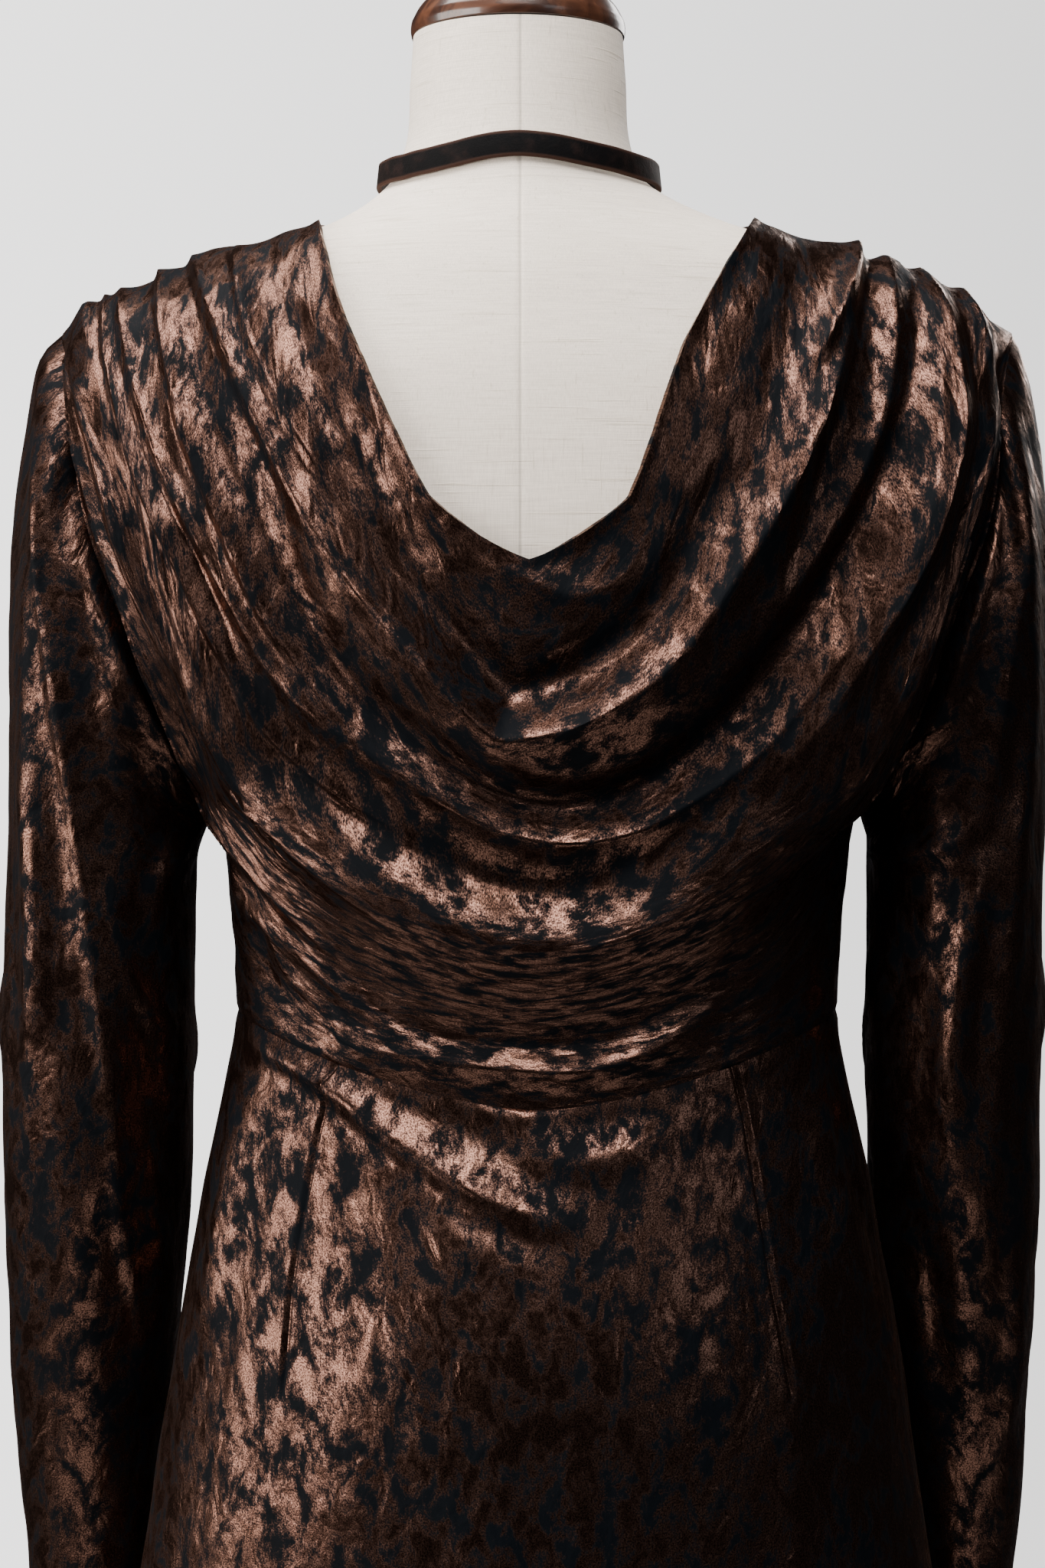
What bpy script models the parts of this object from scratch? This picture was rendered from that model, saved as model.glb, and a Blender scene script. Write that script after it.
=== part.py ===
"""A long-sleeved velvet dress with a cowl-draped back, on a limbless dress form.

Metres, +Z up. The back of the dress faces -Y and the wearer's right side is +X.
Each cut piece is a wall built from a grid of outer points: every point is moved in
by the cloth's thickness, and at a seam both pieces move in the same direction, so
their edges stay parallel and a seam's gap apart.
"""
import math

import bmesh
import bpy
import numpy as np

WALL = 0.0015          # thickness of the velvet
SEAM_GAP = 0.0004      # between two pieces at a seam
WAIST_Z = 1.016        # waist seam at the side seams
WAIST_DIP = 0.039      # how far the waist seam dips at the centre back
FRONT_DIP = 0.006      # and at the centre front
HEM_Z = 0.205
ARMHOLE_CENTRE = (0.176, 0.0, 1.225)
BUST_X, BUST_Z = 0.078, 1.200
BUST_RISE, BUST_SPREAD = 0.016, 0.055

BAND_CENTRE_X = -0.0085
BAND_HALF_X = 0.0648
BAND_BACK, BAND_FRONT = 0.0612, 0.0665
BAND_TALL, BAND_THICK, BAND_LEAN = 0.0120, 0.0024, 0.0012

POLE_RADIUS = 0.0125
BASE_RADIUS, BASE_THICK = 0.190, 0.012
HUB_RADIUS, HUB_TALL = 0.030, 0.022
REST_GAP = 0.0003      # between stand pieces that rest on each other

# Grid sizes: columns, then rows beside the shoulder and beside the side seam
BACK_GRID = (38, 24, 6)
FRONT_GRID = (20, 4, 5)
SKIRT_COLUMNS, SKIRT_ROWS = 24, 11
CAP_ROWS, ARM_ROWS = 6, 9
FORM_AROUND = 24
ARMHOLE_STEPS = 12     # straight steps of the armhole seam on each side
FOLD_STEEPEST = 0.95   # most a fold rises for each metre of cloth above its crest
NECKLINE_CRISP = 0.55  # 0 is a round neckline behind, 1 one with straight runs
EDGE_MARGIN = 0.0015   # how far each column stays within the armhole and the side seam
LEAN_SHARES = (1.0, 0.6, 0.25)

# The dress's hull in level sections: half width, depth of back and front, squareness
HULL = {
    "z": (0.205, 0.400, 0.600, 0.750, 0.806, 0.862, 0.899, 0.936, 0.979, 1.016, 1.050,
          1.085, 1.115, 1.150, 1.180, 1.210, 1.236, 1.260, 1.285, 1.310, 1.336, 1.355,
          1.372, 1.3875, 1.395),
    "half": (0.240, 0.223, 0.204, 0.1870, 0.1787, 0.1703, 0.1638, 0.1576, 0.1480, 0.1422,
             0.1435, 0.1470, 0.1525, 0.1800, 0.2020, 0.2150, 0.2240, 0.2290, 0.2310, 0.2300,
             0.2245, 0.1930, 0.1545, 0.1025, 0.0880),
    "back": (0.172, 0.160, 0.146, 0.1360, 0.1330, 0.1275, 0.1190, 0.1065, 0.0935, 0.0930,
             0.0970, 0.1030, 0.1080, 0.1130, 0.1160, 0.1170, 0.1165, 0.1155, 0.1130, 0.1085,
             0.1010, 0.0945, 0.0870, 0.0780, 0.0720),
    "front": (0.160, 0.147, 0.131, 0.1180, 0.1140, 0.1100, 0.1070, 0.1030, 0.0980, 0.0960,
              0.0975, 0.1000, 0.1040, 0.1080, 0.1110, 0.1120, 0.1110, 0.1080, 0.1020, 0.0960,
              0.0880, 0.0800, 0.0715, 0.0665, 0.0640),
    "square": (2.0, 2.0, 2.05, 2.1, 2.1, 2.1, 2.15, 2.2, 2.25, 2.25, 2.3,
               2.3, 2.3, 2.3, 2.3, 2.3, 2.3, 2.2, 2.15, 2.0, 1.8, 1.7,
               1.7, 1.7, 1.75),
}
# The form under it, with the sideways place of its neck
FORM = {
    "z": (0.780, 0.786, 0.806, 0.862, 0.899, 0.936, 0.979, 1.016, 1.050, 1.085, 1.115,
          1.150, 1.180, 1.210, 1.236, 1.260, 1.285, 1.310, 1.335, 1.3535, 1.3700, 1.3855,
          1.4030, 1.4200, 1.4570, 1.4760),
    "half": (0.150, 0.160, 0.1640, 0.1600, 0.1540, 0.1470, 0.1370, 0.1310, 0.1320, 0.1350, 0.1410,
             0.1540, 0.1680, 0.1820, 0.1920, 0.1980, 0.2010, 0.2030, 0.2010, 0.1870, 0.1480, 0.0968,
             0.0640, 0.0545, 0.0510, 0.0497),
    "back": (0.100, 0.110, 0.1180, 0.1170, 0.1090, 0.0970, 0.0850, 0.0840, 0.0880, 0.0940, 0.0990,
             0.1040, 0.1075, 0.1085, 0.1085, 0.1075, 0.1055, 0.1015, 0.0945, 0.0885, 0.0810, 0.0720,
             0.0625, 0.0565, 0.0490, 0.0460),
    "front": (0.090, 0.098, 0.1020, 0.1000, 0.0970, 0.0940, 0.0890, 0.0870, 0.0890, 0.0910, 0.0940,
              0.0980, 0.1010, 0.1020, 0.1010, 0.0985, 0.0930, 0.0870, 0.0790, 0.0730, 0.0680, 0.0630,
              0.0610, 0.0590, 0.0560, 0.0540),
    "square": (2.1, 2.1, 2.1, 2.1, 2.15, 2.2, 2.25, 2.25, 2.3, 2.3, 2.3,
               2.3, 2.3, 2.3, 2.3, 2.2, 2.15, 2.0, 1.8, 1.7, 1.7, 1.75,
               1.9, 2.0, 2.0, 2.0),
    "side": (0, 0, 0, 0, 0, 0, 0, 0, 0, 0, 0,
             0, 0, 0, 0, 0, 0, 0, 0, 0, -0.001, -0.0035,
             -0.0085, -0.0090, -0.0090, -0.0090),
}
# The outer edge of the back and the front has three stretches: shoulder, armhole, side.
# Columns: half width of the back, of the front, height.
SHOULDER_EDGE = ((0.1025, 0.1025, 1.3875), (0.1545, 0.1545, 1.372),
                 (0.1930, 0.1930, 1.355), (0.2245, 0.2245, 1.336))
ARMHOLE_EDGE = ((0.2245, 0.2245, 1.336), (0.2165, 0.2130, 1.310), (0.2127, 0.2045, 1.285),
                (0.2110, 0.1985, 1.260), (0.2050, 0.1930, 1.236), (0.1950, 0.1860, 1.210),
                (0.1830, 0.1775, 1.180), (0.1680, 0.1660, 1.150), (0.1525, 0.1525, 1.115))
SIDE_EDGE = ((0.1525, 0.1525, 1.115), (0.1470, 0.1470, 1.085),
             (0.1435, 0.1435, 1.050), (0.1422, 0.1422, 1.016))

# Where the cloth of the back swings from one shoulder to the other, as seen from behind.
# Columns: seat on the left edge, five places (x, z) on the way, seat on the right edge. A seat
# is 0 to 1 along the shoulder, 1 to 2 down the armhole and 2 to 3 down the side.
BACK_SWAGS = (
    (0.00, (-0.0865, 1.3295), (-0.0480, 1.2480), (-0.0040, 1.2200),
     (0.0400, 1.2475), (0.0660, 1.3200), 0.00),                       # neckline
    (0.41, (-0.1220, 1.2790), (-0.0730, 1.1980), (-0.0110, 1.1430),
     (0.0580, 1.1780), (0.1115, 1.2550), 0.37),                       # upper swag
    (0.72, (-0.1660, 1.2610), (-0.1150, 1.1710), (0.0000, 1.1000),
     (0.0950, 1.1410), (0.1670, 1.2450), 0.68),                       # middle swag
    (0.87, (-0.1800, 1.2460), (-0.1260, 1.1240), (-0.0020, 1.0565),
     (0.1090, 1.1150), (0.1740, 1.2280), 0.84),                       # lower swag
    (2.25, (-0.1360, 1.0700), (-0.0900, 1.0270), (0.0000, 1.0080),
     (0.0900, 1.0270), (0.1360, 1.0700), 2.25),                       # last swag
)
FRONT_SWAGS = (
    (0.00, (-0.0850, 1.3885), (-0.0520, 1.3830), (-0.0085, 1.3725),
     (0.0350, 1.3830), (0.0770, 1.3885), 0.00),                       # neckline
    (1.00, (-0.1560, 1.3300), (-0.0780, 1.3140), (0.0000, 1.3090),
     (0.0780, 1.3140), (0.1560, 1.3300), 1.00),                       # chest
    (1.55, (-0.1340, 1.2180), (-0.0680, 1.2100), (0.0000, 1.2080),
     (0.0680, 1.2100), (0.1340, 1.2180), 1.55),                       # bust
    (2.15, (-0.1080, 1.1030), (-0.0560, 1.1000), (0.0000, 1.0990),
     (0.0560, 1.1000), (0.1080, 1.1030), 2.15),                       # under the bust
)
# Folds lie along the swags: place (0 neckline to 5 waist), how far above and below the crest
# they reach, and how far they stand out at the left edge, left, middle, right and right edge.
BACK_FOLDS = (
    # place, above, below, left edge, left, middle, right, right edge
    (0.00, 0.20, 0.30, 0.000, 0.001, 0.004, 0.001, 0.000),
    (0.50, 0.22, 0.30, 0.001, 0.003, 0.000, 0.002, 0.001),
    (1.00, 0.28, 0.55, 0.003, 0.010, 0.017, 0.012, 0.003),
    (1.50, 0.20, 0.26, 0.002, 0.006, 0.001, 0.005, 0.003),
    (2.00, 0.28, 0.42, 0.003, 0.010, 0.015, 0.011, 0.003),
    (2.50, 0.20, 0.25, 0.002, 0.007, 0.002, 0.006, 0.002),
    (3.00, 0.40, 0.50, 0.002, 0.010, 0.017, 0.013, 0.002),
    (3.50, 0.20, 0.22, 0.000, 0.006, 0.001, 0.005, 0.000),
    (4.00, 0.24, 0.30, 0.000, 0.004, 0.006, 0.003, 0.000),
    (4.55, 0.25, 0.22, 0.000, 0.001, 0.004, 0.001, 0.000),
)
# Soft folds of the skirt: angle from the centre back (degrees), spread, height of the fold's
# start, rise at the hem
SKIRT_FOLDS = (
    (-74, 9, 0.90, 0.013), (-46, 10, 0.74, 0.012), (-17, 11, 0.66, 0.010), (14, 10, 0.70, 0.011),
    (43, 9, 0.72, 0.013), (70, 10, 0.88, 0.012), (104, 10, 0.82, 0.012), (133, 10, 0.74, 0.011),
    (163, 11, 0.70, 0.010), (194, 10, 0.68, 0.011), (225, 11, 0.72, 0.012), (256, 9, 0.84, 0.012),
)
# The sleeve in level sections: place of its middle, half width, half depth
SLEEVE = {
    "z": (0.735, 0.760, 0.820, 0.880, 0.950, 1.020, 1.085),
    "x": (0.2120, 0.2120, 0.2110, 0.2080, 0.2050, 0.2040, 0.2030),
    "y": (0.0640, 0.0600, 0.0450, 0.0280, 0.0120, 0.0050, 0.0020),
    "half": (0.0320, 0.0335, 0.0370, 0.0405, 0.0430, 0.0435, 0.0430),
    "deep": (0.0420, 0.0430, 0.0460, 0.0490, 0.0520, 0.0530, 0.0540),
}
# Folds of the sleeve: angle (0 outside, 90 back), spread, top, foot, rise, and how far the
# fold turns toward the back on its way down
SLEEVE_FOLDS = (
    (28, 13, 1.30, 0.86, 0.0040, 62), (118, 15, 1.20, 0.80, 0.0030, -30),
    (215, 18, 1.05, 0.78, 0.0030, 10), (300, 16, 1.24, 0.84, 0.0035, 25),
)
CAP_PROFILE = ((0.0000, 1.5110), (0.0120, 1.5100), (0.0260, 1.5062), (0.0390, 1.4985),
               (0.0475, 1.4900), (0.0508, 1.4835), (0.0512, 1.4800), (0.0506, 1.4766))


def smooth_table(places, values, at):
    """Values of a table's column between its rows, on a smooth curve through them."""
    places, values, at = (np.asarray(a, float) for a in (places, values, at))
    rise = np.diff(values) / np.diff(places)
    slope = np.concatenate(([rise[0]], (rise[1:] + rise[:-1]) / 2, [rise[-1]]))
    flat = rise[1:] * rise[:-1] <= 0
    slope[1:-1][flat] = 0
    at = np.clip(at, places[0], places[-1])
    i = np.clip(np.searchsorted(places, at) - 1, 0, len(places) - 2)
    step = places[i + 1] - places[i]
    t = (at - places[i]) / step
    return ((2 * t**3 - 3 * t**2 + 1) * values[i] + (t**3 - 2 * t**2 + t) * step * slope[i]
            + (3 * t**2 - 2 * t**3) * values[i + 1] + (t**3 - t**2) * step * slope[i + 1])


def section(table, z, column):
    return smooth_table(table["z"], table[column], z)


def bust(x, z):
    """How far the bust stands out of the front's level section."""
    off = ((np.abs(x) - BUST_X) ** 2 + (z - BUST_Z) ** 2) / BUST_SPREAD**2
    return BUST_RISE * np.exp(-off)


def hull_depth(table, x, z, side):
    """Y of the surface at x and z; side is 'back' or 'front'."""
    square = section(table, z, "square")
    share = np.clip(np.abs(x) / section(table, z, "half"), 0, 1)
    deep = section(table, z, side) * (1 - share**square) ** (1 / square)
    if side == "back":
        return -deep
    return deep + bust(x, z) * np.clip((1 - share) / 0.4, 0, 1)


def edge_path(side):
    """Places along the outer edge of one side of the bodice, and their seats.

    The armhole has ARMHOLE_STEPS straight steps, and the sleeve starts from the same places.
    """
    column = 0 if side == "back" else 1
    places, seats = [], []
    for stretch, part in enumerate((SHOULDER_EDGE, ARMHOLE_EDGE, SIDE_EDGE)):
        z = np.array([row[2] for row in part])
        x = np.array([row[column] for row in part])
        fine = np.linspace(z[0], z[-1], 121)
        curve = np.stack((smooth_table(z[::-1], x[::-1], fine), fine), axis=1)
        run = np.concatenate(([0], np.cumsum(np.hypot(*np.diff(curve, axis=0).T))))
        share = np.linspace(0, 1, ARMHOLE_STEPS + 1)
        step = np.stack([np.interp(share * run[-1], run, curve[:, k]) for k in (0, 1)], axis=1)
        depth = np.zeros(len(step))
        if part is ARMHOLE_EDGE:
            depth[1:-1] = hull_depth(HULL, step[1:-1, 0], step[1:-1, 1], side)
        places += [(a, d, b) for (a, b), d in zip(step, depth)][stretch > 0:]
        seats += list(stretch + share)[stretch > 0:]
    return np.array(places), np.array(seats)


def on_edge(path, seat):
    """Place at a seat on the edge."""
    return np.array([np.interp(seat, path[1], path[0][:, k]) for k in range(3)])


def waist_z(x, side):
    """Height of the waist seam."""
    share = np.clip(np.abs(x) / SIDE_EDGE[-1][0], 0, 1)
    dip = WAIST_DIP if side == "back" else FRONT_DIP
    return WAIST_Z - dip * (1 - share**1.6)


def swag_points(swags, side, size):
    """Grid of (x, z) whose rows follow the swags, with the rows' places and seats."""
    path = edge_path(side)
    columns, shoulder_rows, side_rows = size
    t = np.linspace(0, 1, columns + 1)
    across = 0.45 * t + 0.55 * (1 - np.cos(math.pi * t)) / 2
    knots = np.linspace(0, 1, 7)
    waist_x = SIDE_EDGE[-1][0] * np.sin((knots[1:-1] - 0.5) * math.pi)
    waist = [(x, waist_z(x, side)) for x in waist_x]
    guides = [*swags, (3.0, *waist, 3.0)]
    curves = np.zeros((len(guides), columns + 1, 2))
    for g, (left, *way, right) in enumerate(guides):
        start = on_edge(path, left)[[0, 2]] * (-1, 1)
        end = on_edge(path, right)[[0, 2]]
        for k in (0, 1):
            curve = [start[k], *[place[k] for place in way], end[k]]
            curves[g, :, k] = smooth_table(knots, curve, across)
            if g == 0 and side == "back":
                straight = np.interp(across, knots, curve)
                curves[g, :, k] += NECKLINE_CRISP * (straight - curves[g, :, k])

    # Rows are even over the shoulder's swags, and one starts at each step of the armhole
    places = np.arange(len(guides))
    middle = [(g[0] + g[-1]) / 2 for g in guides]
    shoulder_swags = sum(seat <= 1 for seat in middle)
    even = np.linspace(0, shoulder_swags - 1, shoulder_rows + 1)
    seat = np.concatenate((np.interp(even, places, middle),
                           np.linspace(1, 2, ARMHOLE_STEPS + 1),
                           np.linspace(2, 3, side_rows + 1)))
    seat = np.unique(np.round(seat, 5))
    down = np.interp(seat, middle, places)
    on_shoulder = [g for g in guides if g[0] <= 1]
    known = [(g[0] + g[-1]) / 2 for g in on_shoulder if g[0] < 1] + [1, 3]
    seats = [np.interp(seat, known, [g[end] for g in on_shoulder if g[0] < 1] + [1, 3])
             for end in (0, -1)]

    grid = np.zeros((len(seat), columns + 1, 2))
    for c in range(columns + 1):
        for k in (0, 1):
            grid[:, c, k] = smooth_table(places, curves[:, c, k], down)
    for c, sign, ends in ((0, -1, seats[0]), (columns, 1, seats[1])):
        fade = np.clip(1 - np.abs(across - across[c]) / 0.16, 0, 1) ** 2
        for r, end in enumerate(ends):
            place = on_edge(path, end)[[0, 2]] * (sign, 1)
            grid[r] += fade[:, None] * (place - grid[r, c])
            if 1 < end <= 3:
                within = abs(place[0]) - EDGE_MARGIN * np.abs(np.arange(columns + 1) - c)
                near = np.abs(np.arange(columns + 1) - c) < 5
                grid[r, near, 0] = sign * np.minimum(sign * grid[r, near, 0], within[near])
    grid[-1, :, 1] = waist_z(grid[-1, :, 0], side)
    return grid, across, down, seats


def fold_rise(folds, across, down, points):
    """How far the folds stand out of the hull, lower where the swags crowd together."""
    rise = np.zeros((len(down), len(across)))
    run = np.linalg.norm(np.gradient(points, axis=0), axis=2) / np.gradient(down)[:, None]
    for place, above, below, *heights in folds:
        off = down - place
        reach = np.where(off < 0, above, below)
        shape = np.clip(1 - np.abs(off) / reach, 0, 1)
        shape = shape**2 * (3 - 2 * shape)
        height = smooth_table(np.linspace(0, 1, 5), heights, across)[None, :]
        rise += shape[:, None] * np.minimum(height, FOLD_STEEPEST * above * run)
    return rise


def grid_normals(points, closed=False):
    """Unit normals of a grid, pointing out of the garment."""
    if closed:
        across = np.roll(points, -1, 1) - np.roll(points, 1, 1)
    else:
        across = np.gradient(points, axis=1)
    down = np.gradient(points, axis=0)
    normal = np.cross(across, down)
    return normal / np.maximum(np.linalg.norm(normal, axis=2, keepdims=True), 1e-9)


def lean(inward, row, column, direction, share):
    """Turns the inward direction at one point of a grid toward a seam's own direction."""
    v = inward[row, column] * (1 - share) + np.asarray(direction) * share
    inward[row, column] = v / np.linalg.norm(v)


def armhole_inward(point):
    side = math.copysign(1, point[0])
    v = np.array((0.0, ARMHOLE_CENTRE[1] - point[1], ARMHOLE_CENTRE[2] - point[2]))
    v[0] = 0.15 * -side * np.linalg.norm(v)
    return v / np.linalg.norm(v)


def material(name, colour, roughness, metallic=0.0):
    made = bpy.data.materials.new(name)
    made.use_nodes = True
    shader = made.node_tree.nodes["Principled BSDF"]
    shader.inputs["Base Color"].default_value = (*colour, 1)
    shader.inputs["Roughness"].default_value = roughness
    shader.inputs["Metallic"].default_value = metallic
    return made


def add_object(name, mesh, finish, collection):
    part = bpy.data.objects.new(name, mesh)
    mesh.materials.append(finish)
    mesh.shade_smooth()
    mesh.set_sharp_from_angle(angle=math.radians(50))
    collection.objects.link(part)
    return part


def finish_mesh(name, shape, finish, collection):
    """Turns a closed shape into an object with its faces pointing out."""
    bmesh.ops.recalc_face_normals(shape, faces=shape.faces)
    bmesh.ops.triangulate(shape, faces=shape.faces)
    mesh = bpy.data.meshes.new(name)
    shape.to_mesh(mesh)
    shape.free()
    return add_object(name, mesh, finish, collection)


def wall(name, outer, inner, finish, collection, closed=False):
    """A wall between a grid of outer points and the same points moved in."""
    rows, columns = outer.shape[:2]
    shape = bmesh.new()
    skins = [[[shape.verts.new(p) for p in row] for row in skin] for skin in (outer, inner)]
    around = columns if closed else columns - 1
    for r in range(rows - 1):
        for c in range(around):
            d = (c + 1) % columns
            out, into = skins
            shape.faces.new((out[r][c], out[r + 1][c], out[r + 1][d], out[r][d]))
            shape.faces.new((into[r][c], into[r][d], into[r + 1][d], into[r + 1][c]))
    rim = [((0, c), (0, (c + 1) % columns)) for c in range(around)]
    rim += [((rows - 1, (c + 1) % columns), (rows - 1, c)) for c in range(around)]
    if not closed:
        rim += [((r + 1, 0), (r, 0)) for r in range(rows - 1)]
        rim += [((r, columns - 1), (r + 1, columns - 1)) for r in range(rows - 1)]
    for (r, c), (s, d) in rim:
        shape.faces.new((skins[0][r][c], skins[0][s][d], skins[1][s][d], skins[1][r][c]))
    return finish_mesh(name, shape, finish, collection)


def bodice(name, side, swags, folds, size, finish, collection):
    """The back or the front of the dress above the waist seam."""
    sign = -1 if side == "back" else 1
    flat, across, down, seats = swag_points(swags, side, size)
    path = edge_path(side)
    rows, columns = len(down) - 1, len(across) - 1
    depth = hull_depth(HULL, flat[..., 0], flat[..., 1], side)
    points = np.stack((flat[..., 0], depth, flat[..., 1]), axis=2)
    normal = grid_normals(points)
    outward = np.where((normal[..., 1] * sign)[..., None] < 0, -normal, normal)
    if folds:
        points += outward * fold_rise(folds, across, down, points)[..., None]
    for r in range(rows + 1):
        for c, seat, turn in ((0, seats[0][r], -1), (columns, seats[1][r], 1)):
            place = on_edge(path, seat) * (turn, 1, 1)
            if 1 <= seat <= 2:
                points[r, c] = place - (turn * SEAM_GAP / 2, 0, 0)
            else:
                points[r, c, 1] = 0
    points[..., 1] = sign * np.maximum(sign * points[..., 1], SEAM_GAP / 2)
    points[-1, :, 2] += SEAM_GAP / 2
    normal = grid_normals(points)
    inward = np.where((normal[..., 1] * sign)[..., None] > 0, -normal, normal)
    for r in range(rows + 1):
        for edge, step, seat, turn in ((0, 1, seats[0][r], -1), (columns, -1, seats[1][r], 1)):
            way = (-turn, 0, 0)
            if seat < 1:
                way = (0, 0, -1)
            elif seat <= 2:
                way = armhole_inward(points[r, edge])
            for n, share in enumerate(LEAN_SHARES):
                lean(inward, r, edge + step * n, way, share)
    for c in range(columns + 1):
        for n, share in ((0, 1.0), (1, 0.5)):
            level = inward[rows - n, c] * (1, 1, 0)
            lean(inward, rows - n, c, level / np.linalg.norm(level), share)
    inner = points + WALL * inward
    inner[..., 1] = sign * np.maximum(sign * inner[..., 1], SEAM_GAP / 2)
    return wall(name, points, inner, finish, collection)


def skirt(name, side, finish, collection):
    """The back or the front of the skirt, from the waist seam to the hem."""
    sign = -1 if side == "back" else 1
    theta = np.linspace(-math.pi / 2, math.pi / 2, SKIRT_COLUMNS + 1)
    down = np.linspace(0, 1, SKIRT_ROWS + 1) ** 1.15
    points = np.zeros((SKIRT_ROWS + 1, SKIRT_COLUMNS + 1, 3))
    for r, share in enumerate(down):
        x = SIDE_EDGE[-1][0] * np.sin(theta)
        for _ in range(6):   # the waist seam's own x at each turn
            top = waist_z(x, side)
            power = 2 / section(HULL, top, "square")
            x = section(HULL, top, "half") * np.sign(x) * np.abs(np.sin(theta)) ** power
        z = waist_z(x, side) * (1 - share) + HEM_Z * share
        square = section(HULL, z, "square")
        half = section(HULL, z, "half")
        deep = section(HULL, z, side)
        points[r, :, 0] = half * np.sign(np.sin(theta)) * np.abs(np.sin(theta)) ** (2 / square)
        points[r, :, 1] = sign * deep * np.abs(np.cos(theta)) ** (2 / square)
        points[r, :, 2] = z
    turn = theta if side == "back" else math.pi - theta
    for angle, spread, top, rise in SKIRT_FOLDS:
        away = np.degrees(turn) - angle
        away = (away + 180) % 360 - 180
        drop = np.clip((top - points[..., 2]) / (top - HEM_Z), 0, 1) ** 1.3
        bump = rise * np.exp(-(away / spread) ** 2)[None, :] * drop
        out = points * (1, 1, 0)
        out /= np.maximum(np.linalg.norm(out, axis=2, keepdims=True), 1e-9)
        points += out * bump[..., None]
    points[0, :, 2] -= SEAM_GAP / 2
    points[..., 1] = sign * np.maximum(sign * points[..., 1], SEAM_GAP / 2)
    normal = grid_normals(points)
    inward = np.where((np.sum(normal * points * (1, 1, 0), axis=2))[..., None] > 0, -normal, normal)
    for r in range(SKIRT_ROWS + 1):
        for edge, step, way in ((0, 1, 1), (SKIRT_COLUMNS, -1, -1)):
            for n, share in enumerate(LEAN_SHARES):
                lean(inward, r, edge + step * n, (way, 0, 0), share)
    for c in range(SKIRT_COLUMNS + 1):
        for n, share in ((0, 1.0), (1, 0.5)):
            level = inward[n, c] * (1, 1, 0)
            lean(inward, n, c, level / np.linalg.norm(level), share)
    inner = points + WALL * inward
    inner[..., 1] = sign * np.maximum(sign * inner[..., 1], SEAM_GAP / 2)
    return wall(name, points, inner, finish, collection)


def armhole_loop():
    """Places of the armhole seam: the shoulder tip, down the back, the underarm, up the front."""
    armhole = slice(ARMHOLE_STEPS, 2 * ARMHOLE_STEPS + 1)
    back, front = (edge_path(side)[0][armhole] for side in ("back", "front"))
    return np.concatenate((back, front[-2:0:-1]))


def sleeve(name, side, finish, collection):
    """One long sleeve, hanging, from the armhole seam to the cuff; side is -1 or 1."""
    start = armhole_loop()
    start[:, 0] += SEAM_GAP / 2
    turn = np.arange(len(start)) * 360 / len(start)
    angle = np.radians(turn)
    heights = np.linspace(SLEEVE["z"][-1], SLEEVE["z"][0], ARM_ROWS + 1)
    rings = []
    for z in heights:
        ring = np.stack((section(SLEEVE, z, "x") + section(SLEEVE, z, "half") * np.cos(angle),
                         section(SLEEVE, z, "y") - section(SLEEVE, z, "deep") * np.sin(angle),
                         np.full(len(turn), z)), axis=1)
        rings.append(ring)
    first = rings[0]
    run = np.linalg.norm(first - start, axis=1, keepdims=True)
    outer = (1 + np.cos(angle))[:, None] / 2
    leave = np.stack((0.12 * outer[:, 0] + 0.10, -0.45 * np.sin(angle),
                      -1.0 + 0.25 * outer[:, 0]), axis=1)
    leave /= np.linalg.norm(leave, axis=1, keepdims=True)
    arrive = np.array((0.0, 0.0, -1.0))
    cap = []
    for t in np.arange(CAP_ROWS) / CAP_ROWS:
        p1 = start + leave * run * 0.33
        p2 = first - arrive * run * 0.40
        cap.append((1 - t) ** 3 * start + 3 * (1 - t) ** 2 * t * p1
                   + 3 * (1 - t) * t**2 * p2 + t**3 * first)
    points = np.array(cap + rings)
    centre = points.mean(axis=1, keepdims=True)
    out = (points - centre) * (1, 1, 0)
    out /= np.maximum(np.linalg.norm(out, axis=2, keepdims=True), 1e-9)
    for middle, spread, top, foot, rise, drift in SLEEVE_FOLDS:
        drop = np.clip((top - points[..., 2]) / (top - foot), 0, 1)
        away = (turn[None, :] - middle - drift * drop + 180) % 360 - 180
        bump = rise * np.exp(-(away / spread) ** 2) * np.sin(math.pi * drop) ** 0.7
        bump[0] = 0
        points += out * bump[..., None]
    points[..., 0] *= side
    normal = grid_normals(points, closed=True)
    centre = points.mean(axis=1, keepdims=True)
    inward = np.where(np.sum(normal * (points - centre), axis=2)[..., None] > 0, -normal, normal)
    for c in range(len(start)):
        for n, share in ((0, 1.0), (1, 0.45)):
            lean(inward, n, c, armhole_inward(points[0, c]), share)
    return wall(name, points, points + WALL * inward, finish, collection, closed=True)


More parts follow.
